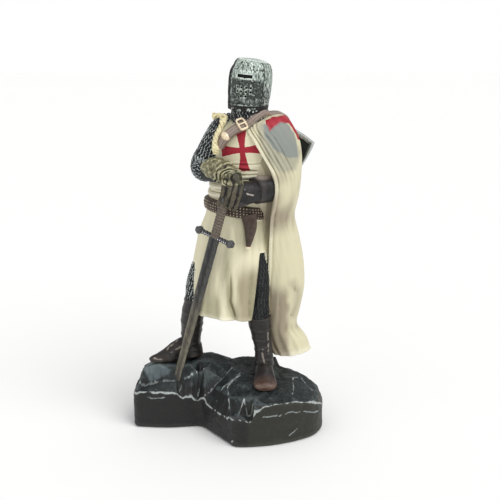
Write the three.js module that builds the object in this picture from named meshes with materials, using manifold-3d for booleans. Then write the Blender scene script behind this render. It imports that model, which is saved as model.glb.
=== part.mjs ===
// A painted souvenir figure of a medieval knight, cast with its rocky base as one solid of resin.
// It stands with both gauntlets on the hilt of a long sword, in a great helm, mail, a surcoat,
// a cloak over its left shoulder and a small shield slung on its back.
//
// Millimetres, +Z up. The origin is the middle of the base's flat underside, and the knight
// faces -Y. Its right hand side is -X. "Left" and "right" below are the knight's own.
import * as THREE from "three";
import { mergeVertices } from "three/addons/utils/BufferGeometryUtils.js";
import Module from "manifold-3d";

const wasm = await Module();
wasm.setup();

// Base: a low slab with upright walls and a broken, rocky top.
const BASE_LENGTH = 105;
const BASE_DEPTH = 61;
const WALL_HEIGHT = 19; // underside to the foot of the rocks
const ROCK_RISE = 17; // foot of the rocks to the highest of them
const BASE_BEVEL = 1.2;

// Knight: the sculpture's stations are written at SCULPTED_HEIGHT and follow FIGURE_HEIGHT.
const FIGURE_HEIGHT = 170; // lower sole to the crown of the helm
const SCULPTED_HEIGHT = 170;
const LEFT_SOLE = 9; // how far the left sole stands above the foot of the rocks

// Arms and clothes, each at its own size.
const SWORD_LENGTH = 116;
const BLADE_WIDTH = 6;
const BLADE_THICKNESS = 2.2;
const GUARD_LENGTH = 22;
const GUARD_THICKNESS = 2.4;
const GRIP_DIAMETER = 4.4;
const SHIELD_WIDTH = 29;
const SHIELD_HEIGHT = 37;
const SHIELD_THICKNESS = 2.6;
const RIM_WIDTH = 1.6;
const BELT_WIDTH = 6.4;
const BELT_RELIEF = 0.9; // how far belts and straps stand out of what they lie on
const STRAP_WIDTH = 4.4;
const CORD_DIAMETER = 2.4;
const HELM_WIDTH = 21;
const HELM_HEIGHT = 25.4;
const SLIT_HEIGHT = 1.5;
const CUT_DEPTH = 1.2;
const HEM_THICKNESS = 1.5;

const scale = FIGURE_HEIGHT / SCULPTED_HEIGHT;
const soleHeight = WALL_HEIGHT + LEFT_SOLE;
const sculptedSole = 28;

const radians = THREE.MathUtils.degToRad;
const clamp = THREE.MathUtils.clamp;
const vec = (x, y, z) => new THREE.Vector3(x, y, z);
const UP = vec(0, 0, 1);

// A point of the sculpture, carried from the sculpted size to the figure's own.
const at = (x, y, z) => vec(x * scale, y * scale, soleHeight + (z - sculptedSole) * scale);

// A smooth bump, 1 at the middle and fading over about one width to either side.
const bump = (distance, width) => Math.exp(-((distance / width) ** 2));

// The signed way round from angle b to angle a, in degrees from -180 to 180.
const turn = (a, b) => ((((a - b + 180) % 360) + 360) % 360) - 180;

// 0 at low, 1 at high and an even ease between, whichever of the two is the larger.
function smooth(low, high, x) {
  const s = clamp((x - low) / (high - low), 0, 1);
  return s * s * (3 - 2 * s);
}

// Catmull-Rom interpolation down a table of stations, from the first row at t = 0 to the last at 1.
function along(rows, t) {
  const place = clamp(t, 0, 1) * (rows.length - 1);
  const i = Math.min(Math.floor(place), rows.length - 2);
  const f = place - i;
  const row = (k) => rows[clamp(k, 0, rows.length - 1)];
  const [before, from, to, after] = [row(i - 1), row(i), row(i + 1), row(i + 2)];
  return from.map((value, n) => {
    const slope = to[n] - before[n];
    const bend = 2 * before[n] - 5 * value + 4 * to[n] - after[n];
    const rest = 3 * value - before[n] - 3 * to[n] + after[n];
    return value + 0.5 * (slope * f + bend * f * f + rest * f * f * f);
  });
}

// A closed solid from points and triangles, turned to face outwards.
function solid(points, faces) {
  let volume = 0;
  for (const [a, b, c] of faces) volume += points[a].dot(points[b].clone().cross(points[c]));
  const turned = volume < 0 ? faces.map(([a, b, c]) => [a, c, b]) : faces;
  return new wasm.Manifold(
    new wasm.Mesh({
      numProp: 3,
      vertProperties: new Float32Array(points.flatMap((p) => p.toArray())),
      triVerts: new Uint32Array(turned.flat()),
    }),
  );
}

// A closed solid from a three.js geometry.
function fromGeometry(geometry) {
  const bare = geometry.clone();
  bare.deleteAttribute("normal");
  bare.deleteAttribute("uv");
  const merged = mergeVertices(bare, 1e-4);
  const place = merged.getAttribute("position");
  const points = [];
  for (let i = 0; i < place.count; i++) points.push(vec(place.getX(i), place.getY(i), place.getZ(i)));
  const index = merged.index.array;
  const faces = [];
  for (let i = 0; i < index.length; i += 3) faces.push([index[i], index[i + 1], index[i + 2]]);
  return solid(points, faces.filter(([a, b, c]) => a !== b && b !== c && a !== c));
}

// The surface of a solid as a three.js geometry.
function geometryOf(whole) {
  const mesh = whole.getMesh();
  return new THREE.BufferGeometry()
    .setAttribute("position", new THREE.BufferAttribute(new Float32Array(mesh.vertProperties), 3))
    .setIndex(new THREE.BufferAttribute(new Uint32Array(mesh.triVerts), 1));
}

const join = (solids) => solids.reduce((whole, next) => whole.add(next));

// The casting is solid: any hollow closed in between its overlapping forms is filled.
const filled = (whole) => wasm.Manifold.compose(whole.decompose().filter((shell) => shell.volume() > 0));

// A loft through rings of equal count. Each end is closed by a fan about its own middle.
function loft(rings) {
  const count = rings[0].length;
  const points = rings.flat();
  const faces = [];
  for (let r = 0; r + 1 < rings.length; r++)
    for (let i = 0; i < count; i++) {
      const [a, b] = [r * count + i, r * count + ((i + 1) % count)];
      faces.push([a, b, b + count], [a, b + count, a + count]);
    }
  for (const [first, flip] of [[0, true], [(rings.length - 1) * count, false]]) {
    const middle = points.slice(first, first + count).reduce((sum, p) => sum.add(p), vec(0, 0, 0));
    const hub = points.push(middle.divideScalar(count)) - 1;
    for (let i = 0; i < count; i++) {
      const [a, b] = [first + i, first + ((i + 1) % count)];
      faces.push(flip ? [b, a, hub] : [a, b, hub]);
    }
  }
  return solid(points, faces);
}

// A limb through stations [x, y, z, half width along side, half width across it].
function limb(stations, { side = vec(1, 0, 0), sides = 14, steps = 12, shape = () => 1 } = {}) {
  const rings = [];
  for (let k = 0; k <= steps; k++) {
    const t = k / steps;
    const [x, y, z, wide, deep] = along(stations, t);
    const [ahead, behind] = [along(stations, t + 0.01), along(stations, t - 0.01)];
    const way = vec(ahead[0] - behind[0], ahead[1] - behind[1], ahead[2] - behind[2]).normalize();
    const across = side.clone().addScaledVector(way, -side.dot(way)).normalize();
    const other = way.clone().cross(across);
    rings.push(
      Array.from({ length: sides }, (_, i) => {
        const angle = (2 * Math.PI * i) / sides;
        const reach = scale * shape(t, angle);
        return at(x, y, z)
          .addScaledVector(across, wide * reach * Math.cos(angle))
          .addScaledVector(other, deep * reach * Math.sin(angle));
      }),
    );
  }
  return loft(rings);
}

// A flat strap along a line of points on the body, with the outward way given at each.
function strap(points, outward, width, relief) {
  const rings = points.map((p, i) => {
    const before = points[Math.max(i - 1, 0)];
    const after = points[Math.min(i + 1, points.length - 1)];
    const way = after.clone().sub(before).normalize();
    const out = outward[i].clone().addScaledVector(way, -outward[i].dot(way)).normalize();
    const across = way.clone().cross(out);
    const corner = (a, o) => p.clone().addScaledVector(across, a * width).addScaledVector(out, o);
    return [corner(-0.5, -2), corner(-0.46, relief), corner(0.46, relief), corner(0.5, -2)];
  });
  return loft(rings);
}

// Base

// The rocks are written for a base of these sizes and follow BASE_LENGTH, BASE_DEPTH and ROCK_RISE.
const CARVED = { length: 105, depth: 61, wall: 19, rise: 17 };

// The rocks as runs of points [x, y, z] along their edges, ledges and feet. Flat facets span them.
const ROCKS = {
  ledgeOverLeftWall: [
    [-53.4, -8, 15.6], [-50.8, -7, 19.6], [-49.5, -9, 19.9], [-43.8, -9.6, 20.3],
    [-38, -9.8, 19.4], [-32, -9.6, 19], [-27.5, -9.2, 18.8],
  ],
  notch: [
    [-23.6, -8.8, 15.6], [-20.5, -8.4, 14.9], [-16.8, -8, 14.2], [-12.8, -11.6, 14],
    [-8.8, -16.8, 12.8], [-4.9, -21.7, 12.4],
  ],
  footOfLobe: [
    [-1, -26.4, 12.8], [0.8, -29, 15.2], [5, -32, 15.4], [11.2, -32, 13.8], [13.4, -31.6, 15.6],
  ],
  edgeOfLobe: [
    [14, -30.2, 21], [17.2, -30.8, 21], [21.6, -30.6, 22.9], [26.2, -29.4, 23.6],
    [31.2, -27.4, 23.6], [36.2, -24.8, 23.6], [39, -24, 22.2], [43.6, -20.6, 21.2],
    [46.6, -17, 20.6], [51, -13.4, 15], [48.8, -11, 20.4], [53.4, -2, 11.6],
  ],
  behind: [
    [53, 9, 13], [50.4, -2, 19.6], [49.8, 7, 19.2], [47, 15, 18], [38, 20.4, 20.2], [26, 26, 20],
    [10, 29.4, 19.6], [-4, 30, 21.2], [-20, 30.4, 20], [-34, 27.8, 20.6], [-46, 22, 18],
    [-53, 12, 15.6], [-54, 3, 15.6], [-50.2, 3, 21.4], [-49.6, 11, 20.6],
  ],
  boulderUnderRightFoot: [
    [-47.3, -2, 34.7], [-41.4, -1.2, 35.6], [-34, -2.2, 35.6], [-27, -2.4, 35.2],
    [-20, -1.4, 35.2], [-47.4, 7, 34.4], [-44, 14, 33], [-49, 4, 26], [-48.8, 10, 26],
  ],
  stepBelowRightFoot: [
    [-48.9, -3.4, 25.6], [-46, -4, 23.4], [-42.5, -4.6, 24.7], [-35.2, -4.6, 27],
    [-28.4, -4.4, 27.3],
  ],
  creaseToNotch: [
    [-26.6, -6, 21.3], [-25.2, -4.2, 24], [-23.3, -3.4, 28], [-19.6, -3.2, 30], [-16.7, -2.6, 32],
    [-13, -1.8, 33.6],
  ],
  darkFace: [[-16.7, -5.4, 17.5], [-16, -4, 20.4], [-14.2, -0.6, 25.5], [-12.6, 1, 29]],
  faceOverNotch: [
    [-12.6, -8.2, 19.6], [-8.2, -6.8, 23.2], [-3.3, -3.9, 27.6], [-0.2, -1.2, 30.4],
    [2.1, 0.8, 32],
  ],
  creaseToLobe: [
    [1.3, -24.6, 19], [0.6, -18.6, 23.6], [-0.2, -13.2, 27.4], [1.9, -11, 28.8], [6.5, -3.8, 31.2],
  ],
  cleft: [
    [6.4, -29, 19.4], [9, -25.6, 25.9], [10.6, -27.2, 17], [12.9, -28.8, 17.2],
    [13.3, -27.4, 23.6],
  ],
  lobe: [
    [14.6, -26.2, 26.4], [14.6, -19.6, 28], [20, -20.6, 27.5], [26.4, -17, 27.2],
    [30.6, -19, 26.2], [18, -9, 29], [27, -4, 28.4],
  ],
  creaseOfLobe: [
    [34.6, -18, 25.2], [35.4, -12.3, 26.5], [35.6, -1.1, 27.5], [40.4, 1.6, 26],
    [43.3, -3.4, 23.8], [46.2, -8.5, 22.6],
  ],
  hump: [
    [-17.3, 12.5, 36], [-12.1, 13, 36.6], [-8.9, 13, 36.8], [-6.1, 12.4, 36.2], [-2.6, 11.2, 35],
    [-16, 4, 35.4], [-9, 4, 34.6],
  ],
  saddle: [[0.9, 11.4, 33], [1.6, 5, 32.4]],
  ridgeBehindLeftHeel: [
    [4.2, 12.6, 33.6], [7.4, 13.2, 33.8], [14.9, 13.6, 33.8], [26.6, 13.6, 33.6], [9, 5, 31.6],
    [24, 5, 31],
  ],
  fallToTheRight: [
    [29.1, 11.3, 31], [31.3, 7.8, 28], [35.3, 8.2, 27.6], [39.5, 7.4, 26.6], [43, 5.9, 25.2],
    [46.5, 3.4, 22.8], [48.6, 0, 21.5],
  ],
  backSlope: [
    [-38, 15, 33.6], [-28, 17, 34.6], [-17, 18.4, 34], [-6, 18.6, 33.2], [2, 17.6, 31],
    [8, 19, 31.6], [18, 19, 31.4], [27, 17.6, 29.4], [36, 14.6, 25.6], [43, 11, 23.2],
    [-30, 23, 27], [-12, 25, 26.4], [6, 24.6, 25.4], [20, 23, 25],
  ],
};

// The flat facets between points: of every circle through three of them, those with no other point inside.
function facets(points) {
  const far = 100 * CARVED.length;
  const all = [...points, [-far, -far], [far, -far], [0, far]];
  const holds = ([a, b, c], p) => {
    const [ax, ay, bx, by, cx, cy] = [a, b, c].flatMap((i) => [all[i][0] - all[p][0], all[i][1] - all[p][1]]);
    const [aa, bb, cc] = [ax * ax + ay * ay, bx * bx + by * by, cx * cx + cy * cy];
    return aa * (bx * cy - cx * by) - bb * (ax * cy - cx * ay) + cc * (ax * by - bx * ay) > 0;
  };
  let found = [[points.length, points.length + 1, points.length + 2]];
  points.forEach((_, p) => {
    const rim = new Map();
    const kept = [];
    for (const facet of found) {
      if (!holds(facet, p)) {
        kept.push(facet);
        continue;
      }
      const [a, b, c] = facet;
      for (const [from, to] of [[a, b], [b, c], [c, a]])
        if (!rim.delete(`${to} ${from}`)) rim.set(`${from} ${to}`, [from, to, p]);
    }
    found = [...kept, ...rim.values()];
  });
  return found.filter((facet) => facet.every((i) => i < points.length));
}

// Everything below the rocks' facets, as a solid that reaches past the base all round.
function carvedRock() {
  const points = Object.values(ROCKS).flat();
  const rise = ROCK_RISE / CARVED.rise;
  const [long, deep] = [BASE_LENGTH / CARVED.length, BASE_DEPTH / CARVED.depth];
  const top = points.map(([x, y, z]) => vec(x * long, y * deep, WALL_HEIGHT + (z - CARVED.wall) * rise));
  const foot = top.map(({ x, y }) => vec(x, y, -WALL_HEIGHT));
  const faces = facets(points);
  const edges = new Map();
  for (const [a, b, c] of faces)
    for (const [from, to] of [[a, b], [b, c], [c, a]])
      if (!edges.delete(`${to} ${from}`)) edges.set(`${from} ${to}`, [from, to]);
  const count = points.length;
  const bottom = faces.map(([a, b, c]) => [a + count, c + count, b + count]);
  const walls = [...edges.values()].flatMap(([from, to]) => [
    [from, from + count, to],
    [to, from + count, to + count],
  ]);
  return solid([...top, ...foot], [...faces, ...bottom, ...walls]);
}

// The base's outline, as shares of its length and depth, with a corner radius for each corner.
const BASE_CORNERS = [
  [-0.497, -0.11, 4], [-0.31, -0.144, 10], [-0.143, -0.1, 4], [0.035, -0.51, 3], [0.12, -0.51, 8],
  [0.24, -0.475, 8], [0.36, -0.39, 8], [0.447, -0.29, 6], [0.49, -0.16, 6], [0.5, 0.02, 8],
  [0.43, 0.24, 8], [0.25, 0.4, 8], [0.02, 0.47, 8], [-0.2, 0.48, 8], [-0.4, 0.4, 8],
  [-0.49, 0.2, 6],
];

function baseOutline() {
  const corners = BASE_CORNERS.map(([x, y, r]) => [new THREE.Vector2(x * BASE_LENGTH, y * BASE_DEPTH), r]);
  const shape = new THREE.Shape();
  corners.forEach(([corner, radius], i) => {
    const before = corners[(i + corners.length - 1) % corners.length][0];
    const after = corners[(i + 1) % corners.length][0];
    const reach = Math.min(radius, 0.45 * corner.distanceTo(before), 0.45 * corner.distanceTo(after));
    const start = corner.clone().add(before.clone().sub(corner).setLength(reach));
    const end = corner.clone().add(after.clone().sub(corner).setLength(reach));
    if (i === 0) shape.moveTo(start.x, start.y);
    else shape.lineTo(start.x, start.y);
    shape.quadraticCurveTo(corner.x, corner.y, end.x, end.y);
  });
  shape.closePath();
  return shape;
}

function base() {
  const slab = new THREE.ExtrudeGeometry(baseOutline(), {
    depth: WALL_HEIGHT + 2 * ROCK_RISE,
    bevelSize: BASE_BEVEL,
    bevelThickness: BASE_BEVEL,
    bevelOffset: -BASE_BEVEL,
    bevelSegments: 1,
    curveSegments: 2,
  }).translate(0, 0, BASE_BEVEL);
  return fromGeometry(slab).intersect(carvedRock());
}

// Legs and boots

const RIGHT_LEG = [
  [-2, 2, 116, 7.5, 8], [-7.4, 0.5, 103, 6.6, 7.4], [-12.2, -1, 92, 6, 6.8],
  [-15.6, -1.4, 81, 5.9, 6.4], [-17, -1, 73, 5.2, 5.6], [-19, 1.5, 63, 5.4, 6],
  [-20, 4, 53, 4.9, 5.4], [-20.5, 6, 46, 4.5, 5], [-19.5, 6.2, 38, 4.2, 4.6],
];
const LEFT_LEG = [
  [12, 2, 116, 8, 8], [14, 0, 103, 7.2, 7.6], [16, -2.5, 92, 6.2, 6.8], [17, -4, 81, 4.9, 5.8],
  [17, -4.2, 72, 4.7, 5.4], [16.9, -2, 62, 5.4, 6], [18, -2, 53, 4.5, 5.2],
  [19.3, -3.5, 45, 4.1, 4.6], [19.6, -4, 36, 4.6, 5],
];
const RIGHT_FOOT = [
  [-14.6, 8.4, 39.5, 1.5, 2], [-16.5, 7.6, 39.8, 4.2, 4.4], [-21.5, 5.8, 41, 4.7, 5.4],
  [-27.5, 3.6, 40.2, 4.5, 4.6], [-33, 1.8, 38.6, 4.5, 3.6], [-38, 0.4, 37.8, 3.6, 2.7],
  [-41.5, -0.6, 38, 2, 1.7], [-43, -1, 38.4, 0.6, 0.5],
];
const LEFT_FOOT = [
  [19.4, 4.8, 32, 1.5, 2], [19.4, 3.6, 32.5, 4.2, 4.6], [19.5, -1, 34.5, 4.6, 6.4],
  [19.6, -7, 34, 4.9, 5.8], [19.8, -12.5, 31.9, 5.8, 4.6], [20, -17, 30.4, 6.2, 3.3],
  [20, -20, 29.6, 5.4, 2.4], [20, -21.4, 29.2, 3, 1.2],
];
const RIGHT_BOOT_TOP = 73;
const LEFT_BOOT_TOP = 64;
const BOOT_WALL = 0.7;

function leg(stations, bootTop, foot, footSide) {
  const height = (t) => along(stations, t)[2];
  const boot = (t) => 1 + (BOOT_WALL / 5) * smooth(bootTop + 0.8, bootTop - 0.8, height(t));
  return limb(stations, { sides: 11, steps: 13, shape: boot }).add(
    limb(foot, { side: footSide, sides: 9, steps: 8 }),
  );
}

// Surcoat

const BELT_HEIGHT = 123; // middle of the belt at the front
const BELT_TILT = 2.6; // how far it sags towards the knight's left
const HEM = 66;
// Where each slit of the skirt opens, its half width, how far it rises and how square it is.
const SLITS = [[-166, 24, 27, 0.1], [-36, 18, 36, 0.5]];
// Skirt folds: [angle at the waist, angle at the hem, depth at the hem, width in degrees].
const SKIRT_FOLDS = [
  [-152, -150, 1.6, 7], [-130, -128, 1.6, 8], [-112, -113, 1.2, 6], [-94, -95, 1.8, 7],
  [-78, -77, 1.2, 5], [-62, -60, 1.6, 7], [-10, -8, 1.8, 9], [14, 16, 1.8, 9], [40, 41, 2.2, 10],
  [66, 64, 2, 9], [90, 92, 2.4, 10], [116, 114, 2, 9], [138, 141, 2.2, 9], [160, 164, 1.8, 8],
];
const SKIRT = [
  [5.5, 0.2, 15.8, 12.4], [5.2, 0, 16.8, 13.4], [4.6, -0.2, 18, 14.2], [3.6, -0.4, 19.2, 14.7],
  [2.6, -0.4, 19.8, 15], [1.8, -0.2, 20, 15.4], [1.4, 0, 20, 15.8],
];

function hem(angle) {
  let z = HEM - 1.6 * Math.cos(radians(angle + 20));
  for (const [middle, width, rise, square] of SLITS)
    z += rise * (1 - smooth(square * width, width, Math.abs(turn(angle, middle))));
  return z;
}

// Middle of the belt at an angle about the waist. The skirt's top runs round under it.
const waist = (angle) => BELT_HEIGHT - BELT_TILT * Math.cos(radians(angle));

function skirt() {
  const [sides, steps] = [64, 6];
  const rings = [];
  for (let k = 0; k <= steps; k++) {
    const t = k / steps;
    rings.push(
      Array.from({ length: sides }, (_, i) => {
        const angle = (360 * i) / sides - 180;
        const z = waist(angle) + (hem(angle) - waist(angle)) * t;
        const fall = (waist(angle) - z) / (waist(angle) - HEM);
        const [x, y, wide, deep] = along(SKIRT, fall);
        let out = -0.6 * fall;
        for (const [top, bottom, depth, width] of SKIRT_FOLDS)
          out += (0.25 + 0.75 * fall) * depth * bump(turn(angle, top + (bottom - top) * fall), width);
        const round = radians(angle);
        return at(x + (wide + out) * Math.cos(round), y + (deep + out) * Math.sin(round), z);
      }),
    );
  }
  return loft(rings);
}

const CHEST_TURN = -13; // the chest faces a little to its own right
const TORSO = [
  [5.5, 0.2, 117, 15.6, 12.2], [5.4, 0.2, 124, 15.4, 12], [6, 0.3, 131, 15.2, 11.9],
  [7.2, 0.4, 139, 15.6, 12.2], [8.6, 0.6, 147, 16.6, 12.9], [10.2, 0.8, 155, 17.6, 13],
  [11.6, 1, 162, 17.4, 12], [12.4, 1, 167.5, 13, 9.6], [12.5, 0.8, 171, 8, 7.4],
];
// Creases of the blousing above the belt: [height, how far it stands out].
const CREASES = [[131.5, 0.9], [135.8, 0.8], [140.2, 0.7], [145, 0.4]];

function torso() {
  return limb(TORSO, {
    side: vec(Math.cos(radians(CHEST_TURN)), Math.sin(radians(CHEST_TURN)), 0),
    sides: 22,
    steps: 12,
    shape: (t, angle) => {
      const z = along(TORSO, t)[2];
      const wave = 1.2 * Math.sin(2 * angle);
      return CREASES.reduce((out, [height, depth]) => out + (depth / 15) * bump(z - height + wave, 1.3), 1);
    },
  });
}

// Mail

const COLLAR = [
  [12.2, 0.2, 162, 14.2, 11.6], [12.2, -0.2, 166.5, 11.8, 10.8], [12, -0.6, 170, 9.8, 9.8],
  [11.8, -0.8, 174, 8.6, 8.8], [11.8, -0.8, 178, 8, 8],
];
const RIGHT_ARM = [
  [4.5, 2, 162, 7, 7], [0.4, 2, 163.4, 7.2, 7.4], [-4, 1.6, 158.6, 6.6, 7],
  [-8.4, 1.1, 151.6, 5.9, 6.4], [-12, 0.6, 145.4, 5.8, 6.2], [-12.6, -3, 141.6, 5.6, 5.6],
  [-8.5, -9, 141.8, 4.9, 5], [-3, -14.5, 142.4, 4, 4.2],
];
const LEFT_ARM = [
  [19, 2, 161, 7, 7], [25, 2.8, 160, 7, 7], [29, 3, 150.5, 6, 6.4], [30.2, 3, 141.5, 5.5, 6],
  [27.6, -2, 136.2, 5.6, 5.8], [22.6, -9.4, 134.4, 5.8, 5.8], [14.5, -15.6, 134, 5.4, 5.4],
];

// Gauntlets

const RIGHT_CUFF = [
  [-11.8, -7.4, 144.4, 2.2, 2.2], [-10.2, -8.8, 144.8, 3.8, 3.6], [-7.6, -11, 145, 5.4, 5],
  [-4, -14, 145, 6, 5.6], [-0.6, -16.6, 144.2, 5.8, 5.6], [2.2, -18.6, 142.2, 5.4, 5.2],
  [4, -20, 139, 5, 4.4], [4, -21, 135, 4.4, 3.4], [3.4, -21.4, 132.4, 3.2, 2],
];
const LEFT_HAND = [
  [15.6, -15.4, 134, 5.2, 5.2], [11.6, -18, 134, 5.8, 5.2], [7.6, -19.6, 133.4, 6, 4.8],
  [3, -20, 132, 5.2, 4.2], [0.2, -19.6, 130.6, 3.2, 3],
];
// Fingers of the right hand fold down over the pommel, and those of the left close round the grip.
const FINGER_WIDTH = 3.6;
const RIGHT_FINGERS = [[-0.2, -22.6, 139.8], [2.3, -24, 139.4], [4.9, -23.8, 138.6], [7.2, -22.4, 137.4]];
const LEFT_FINGERS = [[6.4, -22.4, 132.4], [5.6, -22.4, 129.2]];

function fingers() {
  const half = FINGER_WIDTH / 2;
  const right = RIGHT_FINGERS.map(([x, y, z]) =>
    limb(
      [
        [x + 0.4, y + 2.6, z + 1.6, 1, 1],
        [x, y - 0.4, z, half * 1.05, half],
        [x - 0.9, y - 2.6, z - 4.6, half, half],
        [x - 2.4, y - 2.6, z - 9, half * 0.9, half * 0.9],
        [x - 3.4, y - 0.6, z - 11.4, 0.8, 0.8],
      ],
      { sides: 6, steps: 4 },
    ),
  );
  const left = LEFT_FINGERS.map(([x, y, z]) =>
    limb(
      [
        [x + 5.4, y + 2.4, z + 0.4, 1.4, 1.5],
        [x + 2, y, z, half, half],
        [x - 2.6, y - 0.2, z - 0.8, half, half],
        [x - 6.4, y + 1.6, z - 1.8, 1.2, 1.3],
      ],
      { side: UP, sides: 6, steps: 4 },
    ),
  );
  return join([...right, ...left]);
}

// Sword: from the pommel under the right palm to a point sunk into the rock.
const HILT = at(-2.1, -23, 125.1);
const SWORD_WAY = vec(0.2525, -0.1935, 0.948).normalize(); // from the point up to the pommel
const GUARD_TURN = -27; // how far the guard is turned about the blade, in degrees
const POMMEL_RISE = 7; // pommel above the hilt's middle
const GUARD_DROP = 14.2; // guard below the hilt's middle

function sword() {
  const flat = vec(1, 0, 0).addScaledVector(SWORD_WAY, -SWORD_WAY.x).normalize();
  const across = flat.clone().applyAxisAngle(SWORD_WAY, radians(GUARD_TURN));
  const face = SWORD_WAY.clone().cross(across);
  const frame = new THREE.Matrix4().makeBasis(across, face, SWORD_WAY);
  const place = (geometry, rise) => {
    const middle = HILT.clone().addScaledVector(SWORD_WAY, rise);
    return fromGeometry(geometry.applyMatrix4(frame).translate(middle.x, middle.y, middle.z));
  };

  const bladeLength = SWORD_LENGTH - GUARD_DROP - POMMEL_RISE;
  const tipWidth = 0.62;
  const section = new THREE.Shape();
  const [half, thin, fuller] = [BLADE_WIDTH / 2, BLADE_THICKNESS / 2, BLADE_WIDTH / 7];
  const upper = [
    [half, 0],
    [half - 1, thin],
    [fuller, thin],
    [0, thin * 0.6],
    [-fuller, thin],
    [-half + 1, thin],
    [-half, 0],
  ];
  const lower = upper.slice(1, -1).reverse().map(([x, y]) => [x, -y]);
  section.setFromPoints([...upper, ...lower].map(([x, y]) => new THREE.Vector2(x, y)));
  const blade = new THREE.ExtrudeGeometry(section, { depth: bladeLength, steps: 4, bevelEnabled: false });
  const points = blade.getAttribute("position");
  for (let i = 0; i < points.count; i++) {
    const down = clamp(1 - points.getZ(i) / bladeLength, 0, 1);
    const narrow = 1 - (1 - tipWidth) * down ** 1.5;
    points.setXY(i, points.getX(i) * narrow, points.getY(i) * narrow);
  }

  const gripRadius = GRIP_DIAMETER / 2;
  const grip = new THREE.CylinderGeometry(gripRadius, gripRadius, GUARD_DROP + POMMEL_RISE, 10);
  const pommel = new THREE.SphereGeometry(GRIP_DIAMETER * 0.6, 8, 5);
  const guard = new THREE.BoxGeometry(GUARD_LENGTH - GUARD_THICKNESS, GUARD_THICKNESS, GUARD_THICKNESS);
  const knobRadius = GUARD_THICKNESS * 0.8;
  const knob = new THREE.CylinderGeometry(knobRadius, knobRadius, GUARD_THICKNESS * 1.5, 10);
  const knobs = [-1, 1].map((end) =>
    place(knob.clone().translate((end * (GUARD_LENGTH - GUARD_THICKNESS * 1.6)) / 2, 0, 0), -GUARD_DROP),
  );
  return join([
    place(blade, -GUARD_DROP - bladeLength),
    place(grip.rotateX(Math.PI / 2), (POMMEL_RISE - GUARD_DROP) / 2),
    place(pommel, POMMEL_RISE),
    place(guard, -GUARD_DROP),
    ...knobs,
  ]);
}

// Belt

function belt() {
  const steps = 28;
  const rings = [];
  const profile = [[-0.5, -3], [-0.46, 1], [0.46, 1], [0.5, -3]];
  for (let i = 0; i < steps; i++) {
    const round = (2 * Math.PI * i) / steps;
    const z = waist((360 * i) / steps);
    rings.push(
      profile.map(([rise, out]) => {
        const relief = out > 0 ? out * BELT_RELIEF : out;
        const [wide, deep] = [15.9 * scale + relief, 12.9 * scale + relief];
        return at(5.4, 0.1, z).add(vec(wide * Math.cos(round), deep * Math.sin(round), rise * BELT_WIDTH));
      }),
    );
  }
  const points = rings.flat();
  const faces = [];
  const count = profile.length;
  for (let r = 0; r < steps; r++)
    for (let i = 0; i < count; i++) {
      const [a, b] = [r * count + i, r * count + ((i + 1) % count)];
      const [c, d] = [((r + 1) % steps) * count + i, ((r + 1) % steps) * count + ((i + 1) % count)];
      faces.push([a, b, d], [a, d, c]);
    }
  return solid(points, faces);
}

// The belt's long end, which hangs down the front of the skirt and narrows to its chape.
const BELT_END = [
  [11.4, -13, 121.5, 4, 1.6], [12.2, -14.2, 115.5, 3.3, 1.6], [11.8, -15.6, 110.5, 2.3, 1.5],
  [11.2, -16.4, 106.6, 1.4, 1.4], [11, -16.6, 104.6, 1, 1],
];

// Shield strap with its buckle

const GUIGE = [
  [29.4, 13, 161], [29.6, 8, 166.4], [25, 2.6, 170.2], [18.4, -4.2, 169.4], [12.4, -9.8, 167.4],
  [7, -12.4, 165], [2.8, -13.2, 162.2], [-0.8, -13.2, 158.8], [-4, -12, 155],
];
const CHEST_MIDDLE = [12, 1.5];
const CHEST_TOP = 158;

// The way that points away from the chest and the top of the shoulders.
const awayFromChest = (x, y, z) =>
  vec(x - CHEST_MIDDLE[0], 1.5 * (y - CHEST_MIDDLE[1]), Math.max(0, 1.6 * (z - CHEST_TOP))).normalize();

function guige() {
  const steps = 18;
  const points = [];
  const outward = [];
  for (let i = 0; i <= steps; i++) {
    const [x, y, z] = along(GUIGE, i / steps);
    points.push(at(x, y, z));
    outward.push(awayFromChest(x, y, z));
  }
  return strap(points, outward, STRAP_WIDTH, BELT_RELIEF);
}

function buckle() {
  const [wide, high, wire] = [STRAP_WIDTH + 2.4, 4.6, 1];
  const signs = [[-1, -1], [1, -1], [1, 1], [-1, 1]];
  const corners = (x, y) => signs.map(([a, b]) => new THREE.Vector2(a * x, b * y));
  const frame = new THREE.Shape(corners(wide / 2, high / 2));
  frame.holes.push(new THREE.Path(corners(wide / 2 - wire, high / 2 - wire).reverse()));
  const plate = new THREE.ExtrudeGeometry(frame, { depth: 3, bevelEnabled: false }).translate(0, 0, -1.4);
  const chape = new THREE.SphereGeometry(1, 8, 5).scale(STRAP_WIDTH * 0.62, 2, 1.8);
  const set = (geometry, t) => {
    const [x, y, z] = along(GUIGE, t);
    const [ahead, behind] = [along(GUIGE, t + 0.02), along(GUIGE, t - 0.02)];
    const way = vec(ahead[0] - behind[0], ahead[1] - behind[1], ahead[2] - behind[2]).normalize();
    const out = awayFromChest(x, y, z);
    out.addScaledVector(way, -out.dot(way)).normalize();
    const basis = new THREE.Matrix4().makeBasis(way.clone().cross(out).negate(), way, out);
    return fromGeometry(geometry.applyMatrix4(basis).translate(...at(x, y, z).toArray()));
  };
  return set(plate, 0.6).add(set(chape, 0.86));
}

// Cord that ties the cloak, along the armhole of the right shoulder

const CORD = [
  [-6.6, -4, 170.4], [-3.6, -5, 170.8], [-1.2, -7, 170.2], [-1.6, -9.4, 167.6],
  [-3.2, -10.6, 164.4], [-4.8, -11.4, 161.2], [-5.6, -12, 157.6], [-5.2, -12.4, 154.6],
  [-5, -12.2, 152.6],
];

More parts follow.
